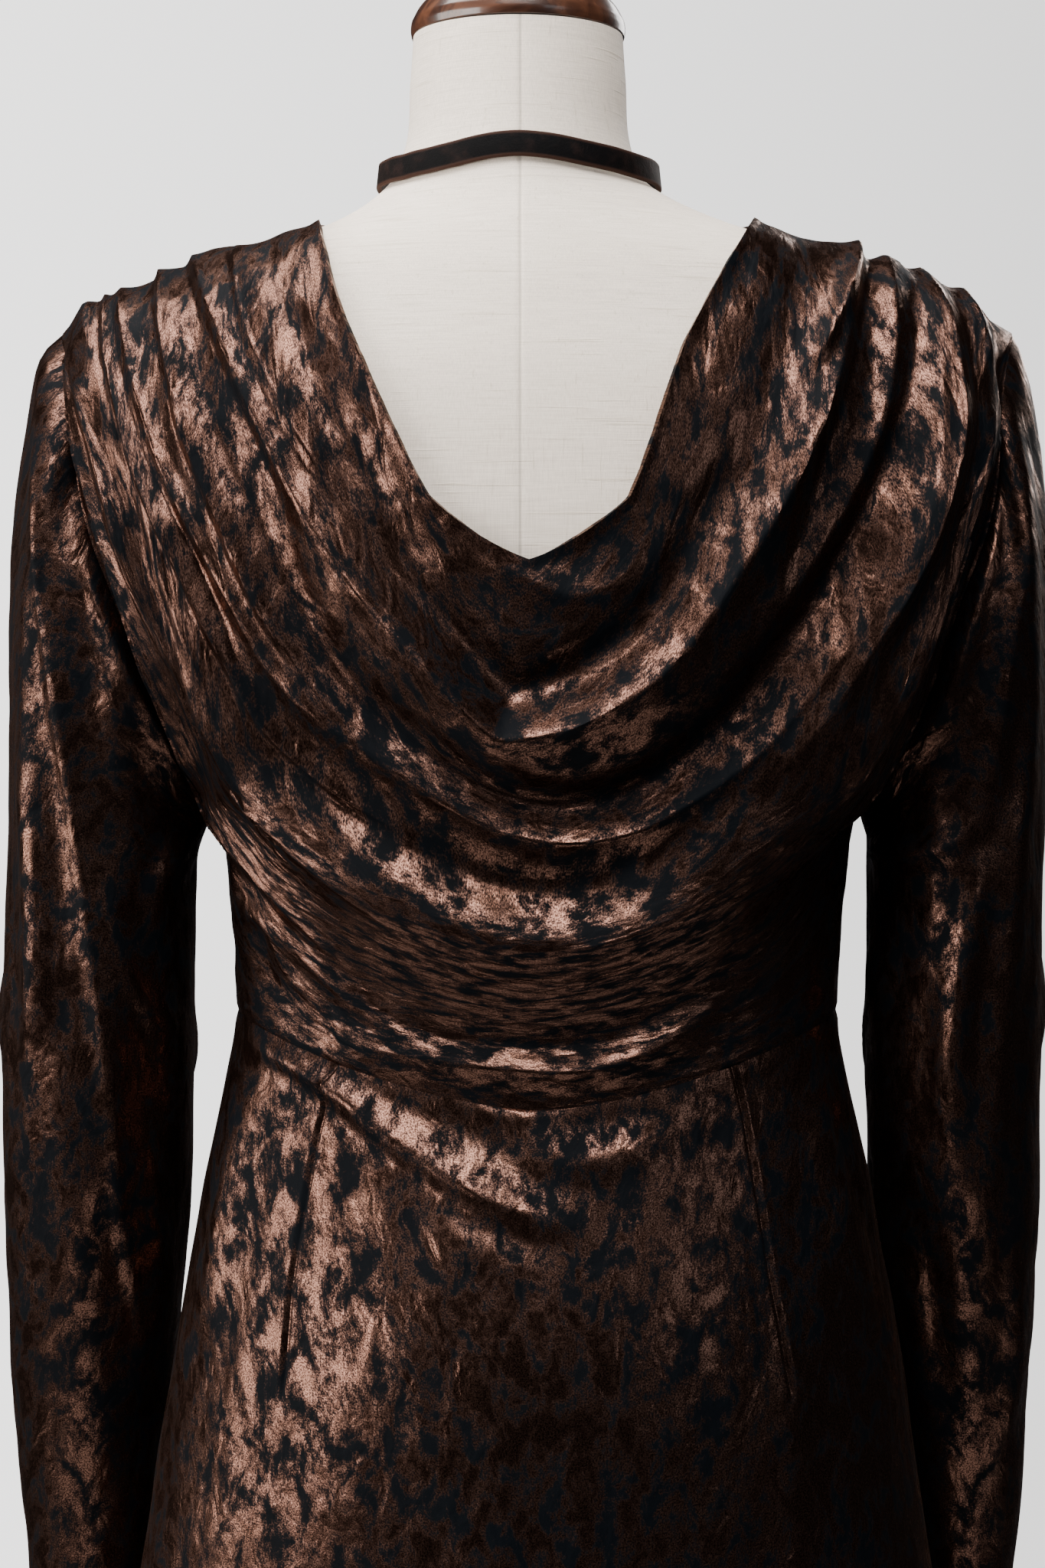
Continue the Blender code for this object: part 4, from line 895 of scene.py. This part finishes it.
def ring_stack(name, rings, finish, poles=()):
    """A closed body through level rings, with flat ends or with a pole at each end."""
    rings = np.asarray(rings)
    rows, columns = rings.shape[:2]
    index = np.arange(rows * columns).reshape(rows, columns)
    nxt = np.roll(index, -1, axis=1)
    faces = np.stack((index[:-1], nxt[:-1], nxt[1:], index[1:]), axis=2).reshape(-1, 4).tolist()
    for k, ring in enumerate((index[0][::-1].tolist(), index[-1].tolist())):
        if poles:
            faces += [(a, b, index.size + k) for a, b in zip(ring, ring[1:] + ring[:1])]
        else:
            faces.append(ring)
    mesh = bpy.data.meshes.new(name)
    mesh.from_pydata([*rings.reshape(-1, 3).tolist(), *poles], [], faces)
    turn_faces_out(mesh)
    return place(name, mesh, finish)


def form_body(finish):
    """The linen body of the form, with a sunk seam down its centre back and front."""
    z = np.linspace(FORM["z"][0], FORM["z"][-1], FORM_ROWS)
    seams = np.concatenate((np.arange(-8, 9) * 0.006 - 0.05, np.arange(-4, 5) * 0.006 - 0.13))
    turn = np.arange(FORM_AROUND) * 2 * math.pi / FORM_AROUND
    theta = np.unique(np.round(np.concatenate((turn, (seams % (2 * math.pi)),
                                               math.pi + seams)), 5))
    rings = []
    for height in z:
        power = 2 / section(FORM, height, "square")
        half = section(FORM, height, "half")
        x = half * np.sign(np.sin(theta)) * np.abs(np.sin(theta)) ** power
        back, front = section(FORM, height, "back"), section(FORM, height, "front")
        cosine = np.cos(theta)
        y = np.where(cosine >= 0, -back, front) * np.abs(cosine) ** power
        share = np.clip(np.abs(x) / half, 0, 1)
        y = np.where(cosine < 0, y + bust(x, height) * np.clip((1 - share) / 0.4, 0, 1), y)
        off = x + section(FORM, height, "side") - SEAM_X
        y -= np.sign(y) * FORM_SEAM_SINK * np.exp(-((off / FORM_SEAM_REACH) ** 2))
        rings.append(np.stack((x + section(FORM, height, "side"), y,
                               np.full(len(x), height)), axis=1))
    return ring_stack("form_cover", rings, finish)


def turned(name, profile, centre, steps, finish):
    """A turned piece: its profile (radius, z) runs from the top to the underside."""
    turn = np.arange(steps) * 2 * math.pi / steps
    radius, height = np.array(profile[1:-1]).T[..., None]
    rings = np.stack((centre[0] + radius * np.cos(turn), centre[1] + radius * np.sin(turn),
                      height + 0 * turn), axis=2)
    poles = [(*centre, profile[end][1]) for end in (0, -1)]
    return ring_stack(name, rings, finish, poles)


def rounded_profile(corners, radii, steps=6):
    """A profile (radius, z) through corners, each with its own round."""
    profile = [corners[0]]
    for k in range(1, len(corners) - 1):
        here = np.array(corners[k])
        back, ahead = np.array(corners[k - 1]) - here, np.array(corners[k + 1]) - here
        back, ahead = back / np.linalg.norm(back), ahead / np.linalg.norm(ahead)
        a, b = here + back * radii[k], here + ahead * radii[k]
        for t in np.linspace(0, 1, steps if radii[k] else 1):
            profile.append(tuple((1 - t) ** 2 * a + 2 * t * (1 - t) * here + t**2 * b))
    return profile + [corners[-1]]


def seat_on_form(x, y):
    """The height at which the form's shoulder reaches out to x and y."""
    heights = np.linspace(1.42, 1.35, 141)
    side = "back" if y < 0 else "front"
    off = x - section(FORM, heights, "side")
    reach = np.abs(hull_depth(FORM, off, heights, side))
    within = (reach >= abs(y)) & (np.abs(off) < section(FORM, heights, "half"))
    return heights[np.argmax(within)]


def strap_tree():
    """Sweeps a folded strap along a closed line that it stands on."""
    tree = bpy.data.node_groups.new("strap_along_the_neck", "GeometryNodeTree")
    face = tree.interface
    face.new_socket("Line", in_out="INPUT", socket_type="NodeSocketGeometry")
    for name in ("Tall", "Thick", "Fold Radius", "Lean"):
        face.new_socket(name, in_out="INPUT", socket_type="NodeSocketFloat")
    face.new_socket("Finish", in_out="INPUT", socket_type="NodeSocketMaterial")
    face.new_socket("Strap", in_out="OUTPUT", socket_type="NodeSocketGeometry")

    def node(kind, values, **settings):
        made = tree.nodes.new(kind)
        for key, value in settings.items():
            setattr(made, key, value)
        for name, value in values.items():
            if isinstance(value, bpy.types.NodeSocket):
                tree.links.new(value, made.inputs[name])
            else:
                made.inputs[name].default_value = value
        return made.outputs[0] if made.outputs else made

    given = tree.nodes.new("NodeGroupInput").outputs
    across = node("ShaderNodeMath", {0: given["Thick"], 1: 0.5}, operation="MULTIPLY")
    up = node("ShaderNodeMath", {0: given["Tall"], 1: -0.5}, operation="MULTIPLY")
    line = node("GeometryNodeMeshToCurve", {"Mesh": given["Line"]})
    line = node("GeometryNodeSetCurveNormal", {"Curve": line}, mode="Z_UP")
    cut = node("GeometryNodeCurvePrimitiveQuadrilateral",
               {"Width": given["Thick"], "Height": given["Tall"]}, mode="RECTANGLE")
    cut = node("GeometryNodeFilletCurve",
               {"Curve": cut, "Radius": given["Fold Radius"], "Count": 4}, mode="POLY")
    turn = node("ShaderNodeCombineXYZ", {"Z": given["Lean"]})
    lift = node("ShaderNodeCombineXYZ", {"X": across, "Y": up})
    cut = node("GeometryNodeTransform", {"Geometry": cut, "Rotation": turn, "Translation": lift})
    strap = node("GeometryNodeCurveToMesh", {"Curve": line, "Profile Curve": cut})
    strap = node("GeometryNodeRealizeInstances", {"Geometry": strap})
    strap = node("GeometryNodeSetMaterial", {"Geometry": strap, "Material": given["Finish"]})
    node("NodeGroupOutput", {"Strap": strap})
    return tree


def neckband(finish):
    """The narrow strap round the root of the neck, standing on the form."""
    theta = np.arange(BAND_STEPS) * 2 * math.pi / BAND_STEPS
    deep = np.where(np.cos(theta) > 0, BAND_BACK, BAND_FRONT)
    x = BAND_CENTRE_X + BAND_HALF_X * np.sin(theta)
    y = -deep * np.cos(theta)
    low = np.array([seat_on_form(a, b) for a, b in zip(x, y)])
    for _ in range(6):
        low = (np.roll(low, 1) + 2 * low + np.roll(low, -1)) / 4
    low += BAND_LIFT + BAND_WAVE * np.sin(3 * theta + 1)
    line = bpy.data.meshes.new("neck_line")
    line.from_pydata(np.stack((x, y, low), axis=1).tolist(),
                     [(k, (k + 1) % BAND_STEPS) for k in range(BAND_STEPS)], [])
    holder = bpy.data.objects.new("neck_line", line)
    bpy.context.scene.collection.objects.link(holder)
    sweep = holder.modifiers.new("strap", "NODES")
    sweep.node_group = strap_tree()
    sizes = {"Tall": BAND_TALL, "Thick": BAND_THICK, "Fold Radius": BAND_FOLD,
             "Lean": -BAND_LEAN / BAND_TALL, "Finish": finish}
    for item in sweep.node_group.interface.items_tree:
        if item.name in sizes:
            sweep[item.identifier] = sizes[item.name]
    view = bpy.context.evaluated_depsgraph_get()
    mesh = bpy.data.meshes.new_from_object(holder.evaluated_get(view))
    holder.modifiers.remove(sweep)
    bpy.data.objects.remove(holder)
    mesh.name = "neck_strap"
    ring = len(mesh.vertices) // BAND_STEPS
    corners = np.empty(len(mesh.loops), dtype=np.int64)
    mesh.loops.foreach_get("vertex_index", corners)
    heights = np.array([v.co.z for v in mesh.vertices]).reshape(BAND_STEPS, ring)
    heights -= heights.min(axis=1, keepdims=True)
    uv = np.stack((BAND_HALF_X * theta[corners // ring], heights.ravel()[corners]), axis=1)
    mesh.uv_layers.new(name="grain").data.foreach_set("uv", uv.ravel())
    turn_faces_out(mesh)
    return place("neck_strap", mesh, finish)


class Value:
    """One socket of a material's tree, for sums written as Python expressions."""

    def __init__(self, tree, socket):
        self.tree, self.socket = tree, socket

    def maths(self, operation, *others):
        return self.tree.node("ShaderNodeMath", {"operation": operation}, [self, *others])

    def __add__(self, other):
        return self.maths("ADD", other)

    __radd__ = __add__

    def __mul__(self, other):
        return self.maths("MULTIPLY", other)

    __rmul__ = __mul__

    def __sub__(self, other):
        return self.maths("SUBTRACT", other)

    def __rsub__(self, other):
        return self.tree.node("ShaderNodeMath", {"operation": "SUBTRACT"}, [other, self])

    def between(self, low, high):
        """0 below low, 1 above high and smooth between."""
        return self.tree.node("ShaderNodeMapRange", {"interpolation_type": "SMOOTHSTEP"},
                              [self, low, high, 0.0, 1.0])


class Finish:
    """A material and its tree of nodes."""

    def __init__(self, name):
        self.material = bpy.data.materials.new(name)
        self.material.use_nodes = True
        self.tree = self.material.node_tree
        self.shader = self.tree.nodes["Principled BSDF"]

    def node(self, kind, settings, values, out=0):
        """A node with its settings, then the values or links of its first sockets."""
        made = self.tree.nodes.new(kind)
        for key, value in settings.items():
            if key == "stops":
                ramp = made.color_ramp
                while len(ramp.elements) < len(value):
                    ramp.elements.new(0.5)
                for element, (at, colour) in zip(ramp.elements, value):
                    element.position, element.color = at, (*colour, 1)
            else:
                setattr(made, key, value)
        named = values.items() if isinstance(values, dict) else enumerate(values)
        for key, value in named:
            socket = made.inputs[key]
            if isinstance(value, Value):
                self.tree.links.new(value.socket, socket)
            elif value is not None:
                socket.default_value = value
        return Value(self, made.outputs[out])

    def measured(self):
        """The cloth's own measures in metres."""
        return self.node("ShaderNodeUVMap", {"uv_map": "grain"}, [])

    def object_place(self):
        return self.node("ShaderNodeTexCoord", {}, [], "Object")

    def stretched(self, vector, scale):
        return self.node("ShaderNodeMapping", {}, {"Vector": vector, "Scale": scale})

    def grains(self, vector, scale, detail=4.0, roughness=0.6, distortion=0.0):
        return self.node("ShaderNodeTexNoise", {}, {
            "Vector": vector, "Scale": scale, "Detail": detail, "Roughness": roughness,
            "Distortion": distortion})

    def blend(self, share, a, b):
        """The colour a where share is 0 and b where it is 1."""
        made = self.node("ShaderNodeMix", {"data_type": "RGBA"}, {}, 2)
        mix = made.socket.node
        self.join(mix.inputs[0], share)
        self.join(mix.inputs[6], a)
        self.join(mix.inputs[7], b)
        return made

    def join(self, socket, value):
        if isinstance(value, Value):
            self.tree.links.new(value.socket, socket)
        else:
            socket.default_value = (*value, 1) if isinstance(value, tuple) else value

    def bump(self, height, distance, strength=1.0, under=None):
        made = self.node("ShaderNodeBump", {}, {"Strength": strength, "Distance": distance,
                                                "Height": height})
        if under is not None:
            self.tree.links.new(under.socket, made.socket.node.inputs["Normal"])
        return made

    def set(self, **values):
        """What varies over the surface, or is plain there."""
        for key, value in values.items():
            self.join(self.shader.inputs[key.replace("_", " ").title()], value)

    def same_all_over(self, values):
        """Values of the shader's own sockets, by their names."""
        for name, value in values.items():
            self.join(self.shader.inputs[name], value)


def velvet_finish():
    """Crushed velvet: ragged patches of pile that lie flat and shine among dark ones."""
    made = Finish("crushed_brown_velvet")
    grain = made.measured()
    along = made.stretched(grain, (0.68, 1.0, 1.0))
    patches = made.grains(along, 85, 4.0, 0.62, 0.5)
    ragged = made.grains(along, 330, 4.0, 0.68, 0.3)
    drift = made.grains(grain, 12, 3.0, 0.5, 0.2)
    pile = made.grains(grain, 1300, 2.0, 0.6)
    uneven = 0.35 * ragged + 0.30 * drift + 0.20 * pile - 0.425
    lying = (patches + uneven).between(0.40, 0.63)
    dark = made.blend(drift, (0.0012, 0.0030, 0.0050), (0.0032, 0.0036, 0.0046))
    light = made.blend(pile.between(0.36, 0.64), (0.024, 0.0116, 0.0086), (0.150, 0.078, 0.057))
    made.set(base_color=made.blend(lying, dark, light))
    made.set(roughness=0.64 - 0.42 * lying,
             metallic=0.97 * lying.between(0.0, 0.25))
    relief = made.grains(along, 90, 2.5, 0.5, 0.6)
    soft = made.bump(relief, 0.0015, 0.7)
    made.set(normal=made.bump(pile, 0.0001, 0.6, soft))
    made.same_all_over({"Sheen Weight": 0.02, "Sheen Roughness": 0.35,
                        "Sheen Tint": (0.55, 0.34, 0.26), "Specular IOR Level": 0.06,
                        "Specular Tint": (0.78, 0.70, 0.66)})
    return made.material


def strap_finish():
    """The strap's plain dark velvet, a little browner along its edges as painted sheen."""
    made = Finish("dark_strap_velvet")
    where = made.object_place()
    cloud = made.grains(where, 90, 5.0, 0.65)
    fibre = made.grains(where, 1500, 2.0, 0.6)
    across = made.node("ShaderNodeSeparateXYZ", {}, [made.measured()], "Y")
    # painted sheen: a band along the strap's top and bottom edges, blended toward a light copper
    edge = (across - BAND_TALL / 2).maths("ABSOLUTE").between(0.0040, 0.0054)
    base = made.blend(cloud.between(0.45, 0.7), (0.0014, 0.0014, 0.0018), (0.010, 0.0055, 0.0050))
    made.set(base_color=made.blend(0.5 * edge, base, (0.075, 0.036, 0.025)), roughness=0.70,
             metallic=0.0, normal=made.bump(cloud + 0.3 * fibre, 0.0010, 0.5))
    made.same_all_over({"Sheen Weight": 0.03, "Sheen Tint": (0.5, 0.32, 0.25),
                        "Specular IOR Level": 0.08})
    return made.material


def linen_finish():
    """Plain linen: a close weave with thicker, darker threads here and there."""
    made = Finish("plain_linen")
    where = made.object_place()
    level = made.stretched(where, (60.0, 60.0, 2600.0))
    upright = made.stretched(where, (2600.0, 2600.0, 60.0))
    weft = made.grains(level, 1.0, 3.0, 0.6)
    warp = made.grains(upright, 1.0, 3.0, 0.6)
    slubs = made.grains(made.stretched(where, (22.0, 22.0, 700.0)), 1.0, 2.0, 0.5)
    upslubs = made.grains(made.stretched(where, (700.0, 700.0, 22.0)), 1.0, 2.0, 0.5)
    thick = slubs.between(0.62, 0.72) + upslubs.between(0.64, 0.74)
    weave = weft * 0.5 + warp * 0.5
    base = made.blend(weave.between(0.35, 0.65), (0.80, 0.70, 0.595), (1.0, 0.89, 0.77))
    tint = made.blend(0.30 * thick, base, (0.50, 0.42, 0.30))
    split = made.node("ShaderNodeSeparateXYZ", {}, [where], "X")
    seam = 1 - (split - SEAM_X).maths("ABSOLUTE").between(0.0003, 0.0009)
    made.set(base_color=made.blend(0.40 * seam, tint, (0.20, 0.18, 0.15)), roughness=0.85,
             normal=made.bump(weave + 0.4 * thick, 0.0004, 0.5))
    made.same_all_over({"Sheen Weight": 0.15})
    return made.material


def wood_finish():
    """Dark stained wood under gloss varnish, turned across its grain."""
    made = Finish("stained_wood")
    where = made.object_place()
    rings = made.grains(made.stretched(where, (14.0, 90.0, 60.0)), 1.0, 6.0, 0.6, 1.2)
    pores = made.grains(made.stretched(where, (60.0, 900.0, 500.0)), 1.0, 2.0, 0.5)
    base = made.blend(rings.between(0.35, 0.68), (0.024, 0.0085, 0.0050), (0.105, 0.040, 0.020))
    made.set(base_color=made.blend(pores.between(0.62, 0.72) * 0.5, base, (0.015, 0.006, 0.004)),
             roughness=0.26 + 0.10 * rings, normal=made.bump(pores, 0.0002, 0.2))
    made.same_all_over({"Coat Weight": 0.6, "Coat Roughness": 0.12})
    return made.material


def steel_finish():
    """Steel brushed up and down the pole."""
    made = Finish("brushed_pole")
    where = made.object_place()
    lines = made.grains(made.stretched(where, (900.0, 900.0, 8.0)), 1.0, 3.0, 0.6)
    made.set(base_color=made.blend(lines, (0.50, 0.50, 0.51), (0.68, 0.68, 0.69)),
             roughness=0.24 + 0.20 * lines, metallic=1.0, normal=made.bump(lines, 0.0001, 0.3))
    return made.material


def paint_finish():
    """Off-white powder coat: fine orange peel and a little wear."""
    made = Finish("pale_powder_coat")
    where = made.object_place()
    peel = made.grains(where, 900, 2.0, 0.5)
    dust = made.grains(where, 22, 5.0, 0.6)
    made.set(base_color=made.blend(dust.between(0.4, 0.75), (0.74, 0.73, 0.71),
                                   (0.62, 0.61, 0.59)),
             roughness=0.42 + 0.18 * dust, normal=made.bump(peel, 0.0002, 0.3))
    return made.material


def pale_floor():
    """A round floor of plain paper, wider than the photograph's frame."""
    made = Finish("studio_paper")
    drift = made.grains(made.object_place(), 0.8, 2.0, 0.5)
    made.set(base_color=made.blend(drift, (0.60, 0.59, 0.58), (0.66, 0.65, 0.64)), roughness=0.9)
    turn = np.linspace(0, 2 * math.pi, FLOOR_STEPS, endpoint=False)
    rim = np.stack((FLOOR_RADIUS * np.cos(turn), FLOOR_RADIUS * np.sin(turn), 0 * turn), axis=1)
    mesh = bpy.data.meshes.new("floor")
    mesh.from_pydata(rim.tolist(), [], [tuple(range(FLOOR_STEPS))])
    mesh.materials.append(made.material)
    floor = bpy.data.objects.new("floor", mesh)
    bpy.context.scene.collection.objects.link(floor)


def pale_surround():
    """Dim cool light all round, seen by the camera as a pale wall with painted shade darkening it
    to the right.
    """
    world = bpy.data.worlds.new("studio")
    bpy.context.scene.world = world
    world.use_nodes = True
    tree = world.node_tree
    dim, out = tree.nodes["Background"], tree.nodes["World Output"]
    dim.inputs["Color"].default_value = (0.72, 0.80, 0.92, 1)
    dim.inputs["Strength"].default_value = 0.035
    seen = tree.nodes.new("ShaderNodeBackground")
    seen.inputs["Color"].default_value = (1.0, 0.985, 0.975, 1)
    where, split = tree.nodes.new("ShaderNodeTexCoord"), tree.nodes.new("ShaderNodeSeparateXYZ")
    # painted shade: the wall's brightness falls from left to right
    fade = tree.nodes.new("ShaderNodeMapRange")
    for socket, value in zip(fade.inputs[1:5], (-0.16, 0.16, 2.5, 1.65)):
        socket.default_value = value
    tree.links.new(where.outputs["Generated"], split.inputs[0])
    tree.links.new(split.outputs["X"], fade.inputs[0])
    tree.links.new(fade.outputs[0], seen.inputs["Strength"])
    either, path = tree.nodes.new("ShaderNodeMixShader"), tree.nodes.new("ShaderNodeLightPath")
    tree.links.new(path.outputs["Is Camera Ray"], either.inputs[0])
    tree.links.new(dim.outputs[0], either.inputs[1])
    tree.links.new(seen.outputs[0], either.inputs[2])
    tree.links.new(either.outputs[0], out.inputs["Surface"])


def soft_lamps():
    for name, at, toward, size, power, colour in LAMPS:
        lamp = bpy.data.lights.new(name, "AREA")
        lamp.size, lamp.energy, lamp.color = size, power, colour
        held = bpy.data.objects.new(name, lamp)
        held.location = at
        held.rotation_euler = (Vector(toward) - Vector(at)).to_track_quat("-Z", "Y").to_euler()
        bpy.context.scene.collection.objects.link(held)


def photograph_camera():
    camera = bpy.data.cameras.new("camera")
    camera.lens, camera.sensor_width, camera.sensor_fit = LENS, SENSOR, "AUTO"
    held = bpy.data.objects.new("camera", camera)
    held.location = CAMERA_AT
    held.rotation_euler = (math.pi / 2, 0, 0)
    bpy.context.scene.collection.objects.link(held)
    bpy.context.scene.camera = held


def declare(piece, node):
    """Attach a piece of the scene to the body root, and hide the imported part of the node it
    stands for.
    """
    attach(piece, "root")
    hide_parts(node)


def main():
    velvet, linen, wood = velvet_finish(), linen_finish(), wood_finish()
    steel, paint = steel_finish(), paint_finish()

    cloths = (
        bodice("draped_back", "back", BACK_SWAGS, BACK_GRID, cowl_rises, velvet),
        bodice("plain_front", "front", FRONT_SWAGS, FRONT_GRID, front_rises, velvet),
        skirt("skirt_back_panel", "back", velvet),
        skirt("skirt_front_panel", "front", velvet),
        sleeve("sleeve_left", -1, LEFT_SLEEVE_CREASES, velvet),
        sleeve("sleeve_right", 1, RIGHT_SLEEVE_CREASES, velvet),
        neckband(strap_finish()),
    )
    cover = form_body(linen)
    neck_y = (FORM["front"][-1] - FORM["back"][-1]) / 2
    corners = [*CAP_PROFILE, (0.0, CAP_PROFILE[-1][1])]
    cap = turned("turned_cap", rounded_profile(corners, CAP_ROUNDS, 8),
                 (FORM["side"][-1], neck_y), 96, wood)

    for piece in cloths:
        node, flat, area, held = CLOTHS[piece.name]
        declare(piece, node)
    declare(cover, "form_torso")
    declare(cap, "neck_cap")
    for node, finish in (("stand_pole", steel), ("stand_hub", paint), ("stand_base", paint)):
        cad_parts[node].material_slots[0].material = finish
    pale_floor()
    pale_surround()
    soft_lamps()
    photograph_camera()


main()
